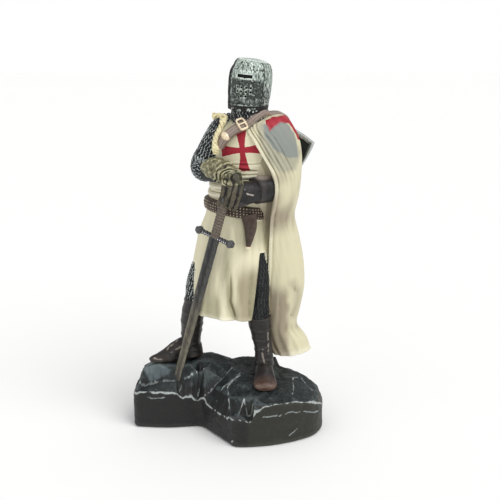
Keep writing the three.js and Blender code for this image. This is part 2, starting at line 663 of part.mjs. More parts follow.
function cord() {
  const stations = CORD.map(([x, y, z], i) => {
    const thick = i === 0 || i > 5 ? 1.5 : 1;
    return [x, y, z, thick, thick];
  });
  const knots = (t) => (CORD_DIAMETER / 2) * (1 + 0.28 * Math.cos(2 * Math.PI * 7 * t));
  return limb(stations, { sides: 6, steps: 22, shape: (t) => knots(t) / scale });
}

// Great helm

const HELM_FOOT = at(11.2, -1, 173.6);
const HELM_TURN = -15;
const HELM_LEAN = 5.5;
const FACE_PLATE = 53; // half angle of the front plate
const SLIT_PLACE = 0.68; // eye slit, as a share of the helm's height
const BAND_PLACE = [0.585, 0.77];
// Helm's profile: [share of height, share of half width, share of half depth].
const HELM = [
  [-0.02, 0.9, 0.9], [0.04, 0.92, 0.94], [0.08, 0.93, 0.95], [0.1, 0.92, 0.95], [0.3, 0.98, 1.0],
  [0.575, 1.0, 1.02], [0.6, 1.0, 1.02], [0.755, 0.965, 0.97], [0.775, 0.95, 0.96],
  [0.9, 0.85, 0.86], [0.97, 0.78, 0.79], [1.0, 0.68, 0.7],
];
const HELM_DEPTH_RATIO = 1.16;

function helmPlace(geometry) {
  return fromGeometry(
    geometry.rotateZ(radians(HELM_TURN)).rotateY(radians(HELM_LEAN)).translate(...HELM_FOOT.toArray()),
  );
}

// A point of the helm's surface: angle in degrees from the front, share of the height.
function helmPoint(angle, row) {
  const [share, wide, deep] = row;
  const out = radians(angle);
  const inBand = share >= BAND_PLACE[0] && share <= BAND_PLACE[1];
  const onPlate = Math.abs(angle) < FACE_PLATE;
  let raise = onPlate ? 0.35 : 0;
  if (onPlate && (inBand || (Math.abs(angle) < 7 && share < BAND_PLACE[1]))) raise += 0.5;
  if (share > 0.01 && share < 0.09) raise += 0.35;
  const ridge = 0.5 * bump(angle, 16);
  return vec(
    ((wide * HELM_WIDTH) / 2 + raise) * Math.sin(out),
    -((deep * HELM_WIDTH * HELM_DEPTH_RATIO) / 2 + raise + ridge) * Math.cos(out),
    share * HELM_HEIGHT,
  );
}

function helm() {
  const angles = [];
  for (let a = -180; a < 180; a += 18) angles.push(a);
  angles.push(-FACE_PLATE - 1, -FACE_PLATE + 1, FACE_PLATE - 1, FACE_PLATE + 1, -6.5, 6.5, -8, 8);
  angles.sort((a, b) => a - b);
  const shell = loft(HELM.map((row) => angles.map((angle) => helmPoint(angle, row))));
  const front = (HELM_WIDTH * HELM_DEPTH_RATIO) / 2;
  const slit = new THREE.BoxGeometry(HELM_WIDTH * 0.42, 2 * CUT_DEPTH, SLIT_HEIGHT);
  slit.translate(0, -front - 0.5, SLIT_PLACE * HELM_HEIGHT);
  return helmPlace(geometryOf(shell.subtract(fromGeometry(slit))));
}

// Cloak

// Cloak's sections, from the neck to the hem:
// [height, middle x, middle y, half width, half depth, front edge angle, back edge angle, lift at the side].
const CLOAK = [
  [170, 16.6, 2, 7, 6.6, -112, 160, 1],
  [167, 18.4, 1.8, 12.2, 13.6, -134, 160, 2.6],
  [159, 20.2, 1.8, 16.2, 16.6, -116, 156, 2],
  [150, 20.4, 2, 18.2, 17.8, -101, 150, 0.6],
  [140, 20.6, 2, 18.2, 19, -79, 140, 0],
  [129, 21, 2.2, 16.6, 18.4, -79, 128, 0],
  [118, 22, 3.4, 13.6, 15.2, -88, 120, 0],
  [106, 24, 4.6, 14.2, 13.6, -98, 118, 0],
  [92, 27, 6, 13.8, 13, -112, 122, 0],
  [78, 28.8, 7.6, 12.6, 12.4, -128, 128, 0],
  [64, 28.6, 9.2, 10.6, 11.6, -144, 136, 0],
  [54, 28, 10.4, 9.6, 11.2, -152, 142, 0],
  [45, 30.8, 11.2, 11.8, 11, -158, 148, 0],
  [37.6, 33.6, 11.4, 11.4, 11.2, -160, 152, 0],
];
// Cloak folds: [angle high on the shoulder, angle at the elbow, angle at the hem, depth, width in degrees].
const CLOAK_FOLDS = [
  [-104, -64, -130, 1.5, 5], [-90, -50, -112, 1.2, 6], [-70, -30, -84, 1.6, 8],
  [-50, -8, -58, 1.2, 8], [-20, 12, -30, 1.6, 9], [8, 34, -4, 1.7, 9], [34, 58, 24, 1.6, 9],
  [60, 82, 52, 1.8, 9], [86, 104, 80, 1.6, 9], [112, 122, 108, 1.6, 8],
];

// How far the folds push the cloth out at a fall (0 at the neck, 1 at the hem) and an angle.
function cloakFolds(fall, angle) {
  let out = -0.5;
  for (const [high, elbow, low, depth, width] of CLOAK_FOLDS) {
    const above = high + (elbow - high) * (fall / 0.25);
    const beneath = elbow + (low - elbow) * smooth(0.25, 0.9, fall);
    const place = fall < 0.25 ? above : beneath;
    out += depth * (0.35 + 0.65 * smooth(0.15, 0.9, fall)) * bump(turn(angle, place), width);
  }
  return out;
}

// A ring of the cloak: across the cloth from its front edge to its back edge, then back underneath,
// so that each edge stands proud of what it lies on.
function cloakRing(t) {
  const [z, x, y, wide, deep, front, back, lift] = along(CLOAK, t);
  const fall = (170 - z) / 132;
  const point = (angle, reach, out) => {
    const round = radians(angle);
    return at(
      x + (wide + out) * reach * Math.cos(round),
      y + (deep + out) * reach * Math.sin(round),
      z + lift * Math.max(0, Math.cos(round)),
    );
  };
  const span = back - front;
  const ring = [];
  for (let i = 0; i <= CLOAK_COUNT; i++) {
    const angle = front + span * (i / CLOAK_COUNT);
    const edge = i < 2 || i > CLOAK_COUNT - 2 ? HEM_THICKNESS * 0.5 : 0;
    ring.push(point(angle, 1, cloakFolds(fall, angle) + edge));
  }
  const under = 7;
  for (let i = 0; i <= under; i++) ring.push(point(back + 1 + (358 - span) * (i / under), 0.78, 0));
  return ring;
}

const CLOAK_COUNT = 34;

function cloak() {
  const steps = 17;
  return loft(Array.from({ length: steps + 1 }, (_, k) => cloakRing(k / steps)));
}

// Shield, slung across the back over the cloak

const SHIELD_MIDDLE = at(29.7, 16.1, 147.8);
const SHIELD_UP = vec(0.34, -0.2, 0.92).normalize(); // from its point up to its top edge
const SHIELD_OUT = vec(0.51, 0.86, 0); // away from the back
const SHIELD_CURVE = 0.018; // bow across its width

// Half the shield's width at a share of its height, from 0 at the top edge to 1 at the point.
const shieldFall = (across) => Math.max(0.1, (1 - Math.abs(across)) ** (1 / 2.2));

function shield() {
  const slices = 10;
  const rings = [];
  const side = SHIELD_UP.clone().cross(SHIELD_OUT).normalize();
  const out = side.clone().cross(SHIELD_UP);
  for (let k = 0; k <= slices; k++) {
    const share = (2 * k) / slices - 1;
    const x = (share * SHIELD_WIDTH) / 2;
    const top = SHIELD_HEIGHT * 0.4;
    const foot = top - SHIELD_HEIGHT * shieldFall(share);
    const rim = Math.min(RIM_WIDTH, (top - foot) / 3);
    const sunk = k === 0 || k === slices ? SHIELD_THICKNESS : SHIELD_THICKNESS - 0.6;
    const slice = [
      [top, 0], [top, SHIELD_THICKNESS], [top - rim, SHIELD_THICKNESS], [top - rim * 1.3, sunk],
      [foot + rim * 1.5, sunk], [foot + rim, SHIELD_THICKNESS], [foot, SHIELD_THICKNESS], [foot, 0],
    ];
    const bow = -SHIELD_CURVE * x * x;
    const middle = SHIELD_MIDDLE.clone().addScaledVector(side, x).addScaledVector(out, bow);
    rings.push(
      slice.map(([up, depth]) => middle.clone().addScaledVector(SHIELD_UP, up).addScaledVector(out, depth)),
    );
  }
  return loft(rings);
}

// The whole casting

function knight() {
  const whole = join([
    base(),
    leg(RIGHT_LEG, RIGHT_BOOT_TOP, RIGHT_FOOT, vec(0.3, 1, 0).normalize()),
    leg(LEFT_LEG, LEFT_BOOT_TOP, LEFT_FOOT, vec(1, 0, 0)),
    skirt(),
    torso(),
    limb(COLLAR, { sides: 18, steps: 4 }),
    limb(RIGHT_ARM, { sides: 11, steps: 10, side: vec(0, 1, 0) }),
    limb(LEFT_ARM, { sides: 12, steps: 9, side: vec(0, 1, 0) }),
    limb(RIGHT_CUFF, { sides: 12, steps: 9, side: vec(0.6, -0.5, 0.6).normalize() }),
    limb(LEFT_HAND, { sides: 10, steps: 5, side: UP }),
    fingers(),
    belt(),
    limb(BELT_END, { sides: 8, steps: 6 }),
    cloak(),
    guige(),
    buckle(),
    cord(),
    helm(),
    shield(),
    sword(),
  ]);
  return filled(whole);
}

const PAINTED_RESIN = new THREE.MeshStandardMaterial({ color: 0xd8d2b4, roughness: 0.62, metalness: 0.0 });

const surface = geometryOf(knight());
surface.computeVertexNormals();
const statue = new THREE.Mesh(surface, PAINTED_RESIN);
statue.name = "knight_statue";

const group = new THREE.Group();
group.add(statue);

export default group;
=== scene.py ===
"""A painted souvenir figure of a medieval knight on its rocky base: the finished look of the casting.

Lengths are millimetres until a mesh is made. The knight faces -Y and its right hand is at -X.
"""
import math

import bpy
import numpy as np
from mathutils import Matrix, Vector
from mathutils.bvhtree import BVHTree
from mathutils.geometry import delaunay_2d_cdt


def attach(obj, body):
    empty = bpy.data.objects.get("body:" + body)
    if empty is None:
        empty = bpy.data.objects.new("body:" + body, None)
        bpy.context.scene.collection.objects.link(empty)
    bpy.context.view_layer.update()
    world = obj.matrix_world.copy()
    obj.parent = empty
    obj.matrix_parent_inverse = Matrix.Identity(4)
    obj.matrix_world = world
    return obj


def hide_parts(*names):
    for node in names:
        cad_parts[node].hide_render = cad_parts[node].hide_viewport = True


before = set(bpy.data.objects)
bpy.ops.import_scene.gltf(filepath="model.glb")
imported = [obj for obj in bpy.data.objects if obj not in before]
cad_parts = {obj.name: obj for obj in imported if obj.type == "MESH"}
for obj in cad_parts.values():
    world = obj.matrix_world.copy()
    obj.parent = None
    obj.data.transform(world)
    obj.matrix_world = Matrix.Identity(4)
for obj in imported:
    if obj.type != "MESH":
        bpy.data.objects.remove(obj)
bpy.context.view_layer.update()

MM = 0.001

# Sizes of the casting: its solid's, but for the rounder foot of the base and the wider shield rim.
BASE_LENGTH = 105
BASE_DEPTH = 61
BASE_BEVEL = 2.2
SWORD_LENGTH = 116
BLADE_WIDTH = 6
BLADE_THICKNESS = 2.2
GUARD_LENGTH = 22
GUARD_THICKNESS = 2.4
GRIP_DIAMETER = 4.4
SHIELD_WIDTH = 29
SHIELD_HEIGHT = 37
SHIELD_THICKNESS = 2.6
SHIELD_RIM = 1.8
BELT_WIDTH = 6.4
BELT_RELIEF = 0.9
STRAP_WIDTH = 4.4
CORD_DIAMETER = 2.4
HELM_WIDTH = 21
HELM_HEIGHT = 25.4
SLIT_HEIGHT = 1.5
CUT_DEPTH = 1.2
HEM_THICKNESS = 1.5

# Sizes of the finish.
BASE_WALL_STEPS = 34
BASE_TOP_SPACING = 0.42
RING_PITCH = 1.6
RING_WIRE = 0.2
RING_LIFT = 0.1
RIVET = 0.42
STUD = 0.45
GUARD_BEAD = 0.42
CHAPE_WALL = 0.35


# Shapes


def bump(distance, width):
    """1 at the middle of a fold and fading over about one width to either side."""
    return np.exp(-((distance / width) ** 2))


def turn(a, b):
    """The signed way round from angle b to angle a, in degrees."""
    return (a - b + 180) % 360 - 180


def smooth(low, high, x):
    """0 at low, 1 at high and an even ease between."""
    s = np.clip((x - low) / (high - low), 0, 1)
    return s * s * (3 - 2 * s)


def unit(v):
    """Vectors brought to length 1."""
    v = np.asarray(v, float)
    return v / np.maximum(np.linalg.norm(v, axis=-1, keepdims=True), 1e-12)


def along(rows, t):
    """Catmull-Rom interpolation down a table of stations, from the first at 0 to the last at 1."""
    rows = np.asarray(rows, float)
    place = np.clip(np.asarray(t, float), 0, 1) * (len(rows) - 1)
    i = np.minimum(place.astype(int), len(rows) - 2)
    f = (place - i)[..., None]
    before, start, end = rows[np.maximum(i - 1, 0)], rows[i], rows[i + 1]
    after = rows[np.minimum(i + 2, len(rows) - 1)]
    bend = 2 * before - 5 * start + 4 * end - after
    rest = 3 * start - before - 3 * end + after
    return start + 0.5 * ((end - before) * f + bend * f**2 + rest * f**3)


def share_at_height(rows, height):
    """How far down a table of stations its height, the third column, passes a given one."""
    t = np.linspace(0, 1, 400)
    return float(t[np.argmin(np.abs(along(rows, t)[:, 2] - height))])


def grain(points, size, seed=0, octaves=3):
    """Lumpy noise from -1 to 1 at points, its broadest lumps about one size across."""
    points = np.asarray(points, float).reshape(-1, 3)
    total = np.zeros(len(points))
    for k in range(octaves):
        q = points / size * 2**k + 19.7 * (seed + k)
        cell = np.floor(q).astype(np.int64)
        f = q - cell
        f = f * f * (3 - 2 * f)
        for corner in range(8):
            dx, dy, dz = corner & 1, corner >> 1 & 1, corner >> 2
            h = (cell[:, 0] + dx) * 73856093
            h = h ^ (cell[:, 1] + dy) * 19349663 ^ (cell[:, 2] + dz) * 83492791
            h = (h ^ (h >> 13)) * 1274126177 & 0xFFFFFFFF
            h = (h ^ (h >> 16)) * 2246822519 & 0xFFFFFFFF
            value = h / 2**31 - 1
            share = np.where(dx, f[:, 0], 1 - f[:, 0]) * np.where(dy, f[:, 1], 1 - f[:, 1])
            total += value * share * np.where(dz, f[:, 2], 1 - f[:, 2]) / 2**k
    return total


def limb(stations, side=(1, 0, 0), sides=120, steps=100, start=0.0, end=1.0, relief=None):
    """Rings of points round a limb through stations [x, y, z, half width along side, half width across].

    relief(share of the length, angle, point) raises the surface by that many millimetres.
    """
    t = np.linspace(start, end, steps + 1)
    row = along(stations, t)
    way = unit(along(stations, t + 0.01)[:, :3] - along(stations, t - 0.01)[:, :3])
    side = unit(side)
    across = unit(side - (way @ side)[:, None] * way)
    other = np.cross(way, across)
    angle = np.linspace(0, 2 * np.pi, sides, endpoint=False)
    c, s = np.cos(angle)[None, :, None], np.sin(angle)[None, :, None]
    wide, deep = row[:, 3, None, None], row[:, 4, None, None]
    points = row[:, None, :3] + across[:, None] * wide * c + other[:, None] * deep * s
    if relief is not None:
        outward = unit(across[:, None] * deep * c + other[:, None] * wide * s)
        height = relief(t[:, None], angle[None, :], points)
        points = points + outward * np.broadcast_to(height, points.shape[:2])[..., None]
    return points


def skin(rings):
    """Points and faces of a closed skin over rings of equal count, its ends closed by fans."""
    n, m = rings.shape[:2]
    row, column = np.meshgrid(np.arange(n - 1), np.arange(m), indexing="ij")
    a = (row * m + column).ravel()
    b = (row * m + (column + 1) % m).ravel()
    faces = np.stack([a, b, b + m, a + m], 1).tolist()
    points = np.vstack([rings.reshape(-1, 3), rings[0].mean(0), rings[-1].mean(0)])
    last = (n - 1) * m
    for i in range(m):
        faces.append([(i + 1) % m, i, n * m])
        faces.append([last + i, last + (i + 1) % m, n * m + 1])
    return points, faces


def hoop(rings):
    """Points and faces of a closed ring, such as a belt, from the sections round it."""
    n, m = rings.shape[:2]
    row, column = np.meshgrid(np.arange(n), np.arange(m), indexing="ij")
    a = row * m + column
    b = row * m + (column + 1) % m
    c = (row + 1) % n * m + (column + 1) % m
    d = (row + 1) % n * m + column
    return rings.reshape(-1, 3), np.stack([a, b, c, d], -1).reshape(-1, 4).tolist()


def mirrored(half, middle):
    """A profile from its first half and the point in its middle."""
    return np.array([*half, middle, *([-x, y] for x, y in half[::-1])])


def together(skins):
    """Several skins as one set of points and faces."""
    points, faces, count = [], [], 0
    for more_points, more_faces in skins:
        faces += [[i + count for i in face] for face in more_faces]
        points.append(more_points)
        count += len(more_points)
    return np.vstack(points), faces


def turned_out(points, faces):
    """The faces in the order that makes a closed skin face outwards."""
    volume = 0.0
    for sides in sorted({len(face) for face in faces}):
        corners = points[np.array([face for face in faces if len(face) == sides])]
        for i in range(1, sides - 1):
            volume += (corners[:, 0] * np.cross(corners[:, i], corners[:, i + 1])).sum()
    return faces if volume > 0 else [face[::-1] for face in faces]


def mesh_from(name, points, faces):
    """A mesh in metres, smooth shaded."""
    mesh = bpy.data.meshes.new(name)
    mesh.from_pydata((np.asarray(points) * MM).tolist(), [], faces)
    mesh.polygons.foreach_set("use_smooth", [True] * len(mesh.polygons))
    mesh.update()
    return mesh


def show(name, mesh, material):
    """An object of the scene for a mesh, in one material."""
    thing = bpy.data.objects.new(name, mesh)
    bpy.context.collection.objects.link(thing)
    mesh.materials.clear()
    mesh.materials.append(material)
    return thing


def places(mesh):
    """A mesh's points in millimetres."""
    flat = np.empty(3 * len(mesh.vertices))
    mesh.vertices.foreach_get("co", flat)
    return flat.reshape(-1, 3) / MM


def outward_ways(mesh):
    """The outward way at each of a mesh's points."""
    flat = np.empty(3 * len(mesh.vertices))
    mesh.vertices.foreach_get("normal", flat)
    return flat.reshape(-1, 3)


def move_points(mesh, points):
    """Sets a mesh's points, in millimetres."""
    mesh.vertices.foreach_set("co", (points * MM).ravel())
    mesh.update()


def edges_of(mesh):
    """The two ends of each edge of a mesh."""
    flat = np.empty(2 * len(mesh.edges), np.int64)
    mesh.edges.foreach_get("vertices", flat)
    return flat.reshape(-1, 2).T


def relaxed(points, edges, rounds):
    """Points drawn towards their neighbours' middle, a number of times."""
    a, b = edges
    count = len(points)
    degree = np.maximum(np.bincount(a, minlength=count) + np.bincount(b, minlength=count), 1)
    for _ in range(rounds):
        total = [
            np.bincount(a, points[b, k], count) + np.bincount(b, points[a, k], count) for k in range(3)
        ]
        points = 0.5 * points + 0.5 * np.stack(total, 1) / degree[:, None]
    return points


def fused(name, skins, voxel, rounds=3):
    """One mesh around several overlapping skins, with their joints softened."""
    points, faces = together(skins)
    rough = bpy.data.objects.new(name, mesh_from(name, points, faces))
    bpy.context.collection.objects.link(rough)
    remesh = rough.modifiers.new("casting", "REMESH")
    remesh.mode = "VOXEL"
    remesh.voxel_size = voxel * MM
    graph = bpy.context.evaluated_depsgraph_get()
    mesh = bpy.data.meshes.new_from_object(rough.evaluated_get(graph))
    bpy.data.objects.remove(rough)
    mesh.name = name
    move_points(mesh, relaxed(places(mesh), edges_of(mesh), rounds))
    mesh.polygons.foreach_set("use_smooth", [True] * len(mesh.polygons))
    return mesh


def raise_by(mesh, height):
    """Raises a mesh's surface by height(points, outward ways), in millimetres."""
    points, ways = places(mesh), outward_ways(mesh)
    move_points(mesh, points + ways * height(points, ways)[:, None])


def keep_at_points(mesh, name, values, kind="FLOAT"):
    """Keeps a number or a vector at each of a mesh's points, under a name."""
    attribute = mesh.attributes.new(name, kind, "POINT")
    key = "value" if kind == "FLOAT" else "vector"
    attribute.data.foreach_set(key, np.asarray(values, np.float32).ravel())


def mark(mesh, **values):
    """Keeps shares from 0 to 1 at a mesh's points, for the paint."""
    for name, value in values.items():
        keep_at_points(mesh, name, np.clip(value, 0, 1))


def mark_relief(mesh, fine, broad):
    """Keeps at each point how far it stands out of its surroundings, for the wash and the dry brush.

    The attributes run from -1 in a fold to 1 on an edge, one for narrow forms and one for broad.
    """
    points, ways, edges = places(mesh), outward_ways(mesh), edges_of(mesh)
    spacing = np.linalg.norm(points[edges[0]] - points[edges[1]], axis=1).mean()
    done = 0
    level = points
    for name, radius in (("fine_relief", fine), ("broad_relief", broad)):
        rounds = int(np.clip(2 * (radius / spacing) ** 2, 2, 90))
        level = relaxed(level, edges, max(rounds - done, 1))
        done = rounds
        height = ((points - level) * ways).sum(1) / (0.22 * radius)
        keep_at_points(mesh, name, np.clip(height, -1, 1))


# Rocky base

# Corners of the broken top, in runs along its ledges, creases and edges.
ROCKS = {
    "ledge over the left wall": [
        [-53.4, -8, 15.6], [-50.8, -7, 19.6], [-49.5, -9, 19.9], [-43.8, -9.6, 20.3], [-38, -9.8, 19.4],
        [-32, -9.6, 19], [-27.5, -9.2, 18.8],
    ],
    "notch": [
        [-23.6, -8.8, 15.6], [-20.5, -8.4, 14.9], [-16.8, -8, 14.2], [-12.8, -11.6, 14],
        [-8.8, -16.8, 12.8], [-4.9, -21.7, 12.4],
    ],
    "foot of the lobe": [
        [-1, -26.4, 12.8], [0.8, -29, 15.2], [5, -32, 15.4], [11.2, -32, 13.8], [13.4, -31.6, 15.6],
    ],
    "edge of the lobe": [
        [14, -30.2, 21], [17.2, -30.8, 21], [21.6, -30.6, 22.9], [26.2, -29.4, 23.6], [31.2, -27.4, 23.6],
        [36.2, -24.8, 23.6], [39, -24, 22.2], [43.6, -20.6, 21.2], [46.6, -17, 20.6], [51, -13.4, 15],
        [48.8, -11, 20.4], [53.4, -2, 11.6],
    ],
    "behind": [
        [53, 9, 13], [50.4, -2, 19.6], [49.8, 7, 19.2], [47, 15, 18], [38, 20.4, 20.2], [26, 26, 20],
        [10, 29.4, 19.6], [-4, 30, 21.2], [-20, 30.4, 20], [-34, 27.8, 20.6], [-46, 22, 18], [-53, 12, 15.6],
        [-54, 3, 15.6], [-50.2, 3, 21.4], [-49.6, 11, 20.6],
    ],
    "boulder under the right foot": [
        [-46.8, -2, 33], [-41.4, -1.2, 35.6], [-34, -2.2, 35.6], [-27, -2.4, 35.2], [-20, -1.4, 35.2],
        [-46.8, 7, 31], [-44, 14, 30.6], [-49, 4, 26], [-48.6, 10, 25.4],
    ],
    "step below the right foot": [
        [-48.9, -3.4, 25.6], [-46, -4, 23.4], [-42.5, -4.6, 24.7], [-35.2, -4.6, 27], [-28.4, -4.4, 27.3],
    ],
    "crease to the notch": [
        [-26.6, -6, 21.3], [-25.2, -4.2, 24], [-23.3, -3.4, 28], [-19.6, -3.2, 30], [-16.7, -2.6, 32],
        [-13, -1.8, 33.6],
    ],
    "dark face": [[-16.7, -5.4, 17.5], [-16, -4, 20.4], [-14.2, -0.6, 25.5], [-12.6, 1, 29]],
    "face over the notch": [
        [-12.6, -8.2, 19.6], [-8.2, -6.8, 23.2], [-3.3, -3.9, 27.6], [-0.2, -1.2, 30.4], [2.1, 0.8, 32],
    ],
    "crease to the lobe": [
        [1.3, -24.6, 19], [0.6, -18.6, 23.6], [-0.2, -13.2, 27.4], [1.9, -11, 28.8], [6.5, -3.8, 31.2],
    ],
    "cleft": [
        [6.4, -29, 19.4], [9, -25.6, 25.9], [10.6, -27.2, 17], [12.9, -28.8, 17.2], [13.3, -27.4, 23.6],
    ],
    "lobe": [
        [14.6, -26.2, 26.4], [14.6, -19.6, 28], [20, -20.6, 27.5], [26.4, -17, 27.2], [30.6, -19, 26.2],
        [18, -9, 29], [27, -4, 28.4],
    ],
    "crease of the lobe": [
        [34.6, -18, 25.2], [35.4, -12.3, 26.5], [35.6, -1.1, 27.5], [40.4, 1.6, 26], [43.3, -3.4, 23.8],
        [46.2, -8.5, 22.6],
    ],
    "hump": [
        [-17.3, 12.5, 36], [-12.1, 13, 36.6], [-8.9, 13, 36.8], [-6.1, 12.4, 36.2], [-2.6, 11.2, 35],
        [-16, 4, 35.4], [-9, 4, 34.6],
    ],
    "saddle": [[0.9, 11.4, 33], [1.6, 5, 32.4]],
    "ridge behind the left heel": [
        [4.2, 12.6, 33.6], [7.4, 13.2, 33.8], [14.9, 13.6, 33.8], [26.6, 13.6, 33.6], [9, 5, 31.6],
        [24, 5, 31],
    ],
    "fall to the right": [
        [28.8, 11.3, 28.6], [31.3, 7.8, 27.6], [35.3, 8.2, 27.6], [39.5, 7.4, 26.6], [43, 5.9, 25.2],
        [46.5, 3.4, 22.8], [48.6, 0, 21.5],
    ],
    "slope at the back": [
        [-38, 15, 33.6], [-28, 17, 34.6], [-17, 18.4, 34], [-6, 18.6, 33.2], [2, 17.6, 31], [8, 19, 31.6],
        [18, 19, 30.6], [27, 17.6, 27.2], [36, 14.6, 25.2], [43, 11, 22.4], [-30, 23, 27], [-12, 25, 26.4],
        [6, 24.6, 25.4], [20, 23, 25],
    ],
}
# Corners of the base's outline: x and y as shares of its length and depth, and how far each is rounded.
BASE_CORNERS = [
    [-0.497, -0.11, 4], [-0.31, -0.144, 10], [-0.143, -0.1, 4], [0.035, -0.51, 3], [0.12, -0.51, 8],
    [0.24, -0.475, 8], [0.36, -0.39, 8], [0.447, -0.29, 6], [0.49, -0.16, 6], [0.5, 0.02, 8],
    [0.43, 0.24, 8], [0.25, 0.4, 8], [0.02, 0.47, 8], [-0.2, 0.48, 8], [-0.4, 0.4, 8], [-0.49, 0.2, 6],
]


def rock_facets():
    """The rocks' points, and the flat facets that span them."""
    points = np.array([point for run in ROCKS.values() for point in run], float)
    flat = [tuple(point[:2]) for point in points]
    found = delaunay_2d_cdt([Vector(p) for p in flat], [], [], 0, 1e-6)
    order = [source[0] for source in found[3]]
    return points, [[order[i] for i in face] for face in found[2]]


def rock_height(x, y):
    """Height of the rocks' facets over points of the base."""
    height = np.full(len(x), 15.0)
    points, facets = rock_facets()
    for face in facets:
        (ax, ay, az), (bx, by, bz), (cx, cy, cz) = points[face]
        area = (bx - ax) * (cy - ay) - (cx - ax) * (by - ay)
        u = ((bx - x) * (cy - y) - (cx - x) * (by - y)) / area
        v = ((cx - x) * (ay - y) - (ax - x) * (cy - y)) / area
        w = 1 - u - v
        inside = (u >= -1e-6) & (v >= -1e-6) & (w >= -1e-6)
        height[inside] = (u * az + v * bz + w * cz)[inside]
    return height


def base_outline(spacing=0.4):
    """Points round the base's outline, evenly spaced, with its corners rounded."""
    corners = np.array([[x * BASE_LENGTH, y * BASE_DEPTH] for x, y, _ in BASE_CORNERS])
    curve = []
    for i, (_, _, radius) in enumerate(BASE_CORNERS):
        here, before, after = corners[i], corners[i - 1], corners[(i + 1) % len(corners)]
        reach = min(radius, 0.45 * np.linalg.norm(here - before), 0.45 * np.linalg.norm(here - after))
        start = here + unit(before - here) * reach
        end = here + unit(after - here) * reach
        for t in np.linspace(0, 1, 9):
            curve.append((1 - t) ** 2 * start + 2 * t * (1 - t) * here + t**2 * end)
    curve = np.array(curve)
    step = np.linalg.norm(np.roll(curve, -1, 0) - curve, axis=1)
    total = step.sum()
    place = np.concatenate([[0], np.cumsum(step)])
    even = np.linspace(0, total, int(total / spacing), endpoint=False)
    closed = np.vstack([curve, curve[:1]])
    return np.stack([np.interp(even, place, closed[:, k]) for k in range(2)], 1)


def away_from_run(points, run):
    """How far points lie from a run of marks."""
    run = np.asarray(run, float)
    best = np.full(len(points), np.inf)
    for a, b in zip(run[:-1], run[1:]):
        way = b - a
        t = np.clip(((points - a) @ way) / (way @ way), 0, 1)
        best = np.minimum(best, np.linalg.norm(points - (a + t[:, None] * way), axis=1))
    return best


def inside_of(points, outline):
    """Which of some flat points lie inside an outline."""
    inside = np.zeros(len(points), bool)
    for (ax, ay), (bx, by) in zip(outline, np.roll(outline, -1, 0)):
        crosses = (ay > points[:, 1]) != (by > points[:, 1])
        edge = (bx - ax) * (points[:, 1] - ay) / (by - ay + 1e-12) + ax
        inside ^= crosses & (points[:, 0] < edge)
    return inside


def within(points, outline, soft=0.5):
    """1 for flat points inside an outline and 0 for those outside, easing over soft at its edge."""
    away = away_from_run(points, [*outline, outline[0]])
    return smooth(-soft, soft, np.where(inside_of(points, outline), away, -away))


def base_rings(outline, rim):
    """The wall of the base as rings of points, from its rounded foot up to its rim."""
    ahead = np.roll(outline, -1, 0) - np.roll(outline, 1, 0)
    inward = unit(np.stack([-ahead[:, 1], ahead[:, 0]], 1))
    rings = []
    for share in np.linspace(0, 1, 6):
        bend = share * np.pi / 2
        inset = BASE_BEVEL * (1 - math.sin(bend))
        height = np.full(len(outline), BASE_BEVEL * (1 - math.cos(bend)))
        rings.append(np.column_stack([outline + inward * inset, height]))
    for k in range(1, BASE_WALL_STEPS + 1):
        height = BASE_BEVEL + (rim - BASE_BEVEL) * k / BASE_WALL_STEPS
        rings.append(np.column_stack([outline, height]))
    return rings


def base_grid(outline):
    """Points spread a little unevenly over the base's top, clear of its outline."""
    xs = np.arange(-BASE_LENGTH / 2, BASE_LENGTH / 2, BASE_TOP_SPACING)
    ys = np.arange(-BASE_DEPTH / 2 - 2, BASE_DEPTH / 2, BASE_TOP_SPACING)
    grid = np.stack(np.meshgrid(xs, ys, indexing="ij"), -1).reshape(-1, 2)
    uneven = np.stack([grain(np.c_[grid, grid[:, :1]], 0.9, k, 1) for k in (3, 4)], 1)
    grid = grid + 0.3 * BASE_TOP_SPACING * uneven
    grid = grid[inside_of(grid, outline)]
    margin = np.full(len(grid), np.inf)
    for x, y in outline[::2]:
        margin = np.minimum(margin, np.hypot(grid[:, 0] - x, grid[:, 1] - y))
    return grid[margin > 0.5 * BASE_TOP_SPACING]


def rock_base():
    """The slab with its rounded foot, its worn walls and the broken top."""
    outline = base_outline()
    count = len(outline)
    rim = rock_height(*outline.T)
    rings = base_rings(outline, rim)
    grid = base_grid(outline)
    flat = np.vstack([outline, grid])
    ring = [(i, (i + 1) % count) for i in range(count)]
    top = delaunay_2d_cdt([Vector(p) for p in flat], ring, [], 1, 1e-6)
    heights = np.concatenate([rim, rock_height(*grid.T)])
    wall_points = np.vstack(rings[:-1])
    first_top = len(wall_points)
    points = [*wall_points]
    found = [source[0] if source else -1 for source in top[3]]
    for place, source in zip(top[0], found):
        if source >= 0:
            height = heights[source]
        else:
            height = rock_height(np.array([place.x]), np.array([place.y]))[0]
        points.append([place.x, place.y, height])
    order = {source: first_top + i for i, source in enumerate(found) if source >= 0}
    faces = [[first_top + i for i in face] for face in top[2]]
    layers = len(rings) - 1
    for r in range(layers):
        for i in range(count):
            j = (i + 1) % count
            if r == layers - 1:
                high = (order[j], order[i])
            else:
                high = ((r + 1) * count + j, (r + 1) * count + i)
            faces.append([r * count + i, r * count + j, *high])
    faces.append(list(range(count))[::-1])
    return np.array(points), faces


# Places of the figure, close to its solid's. A limb's station is x, y, z and its two half widths.

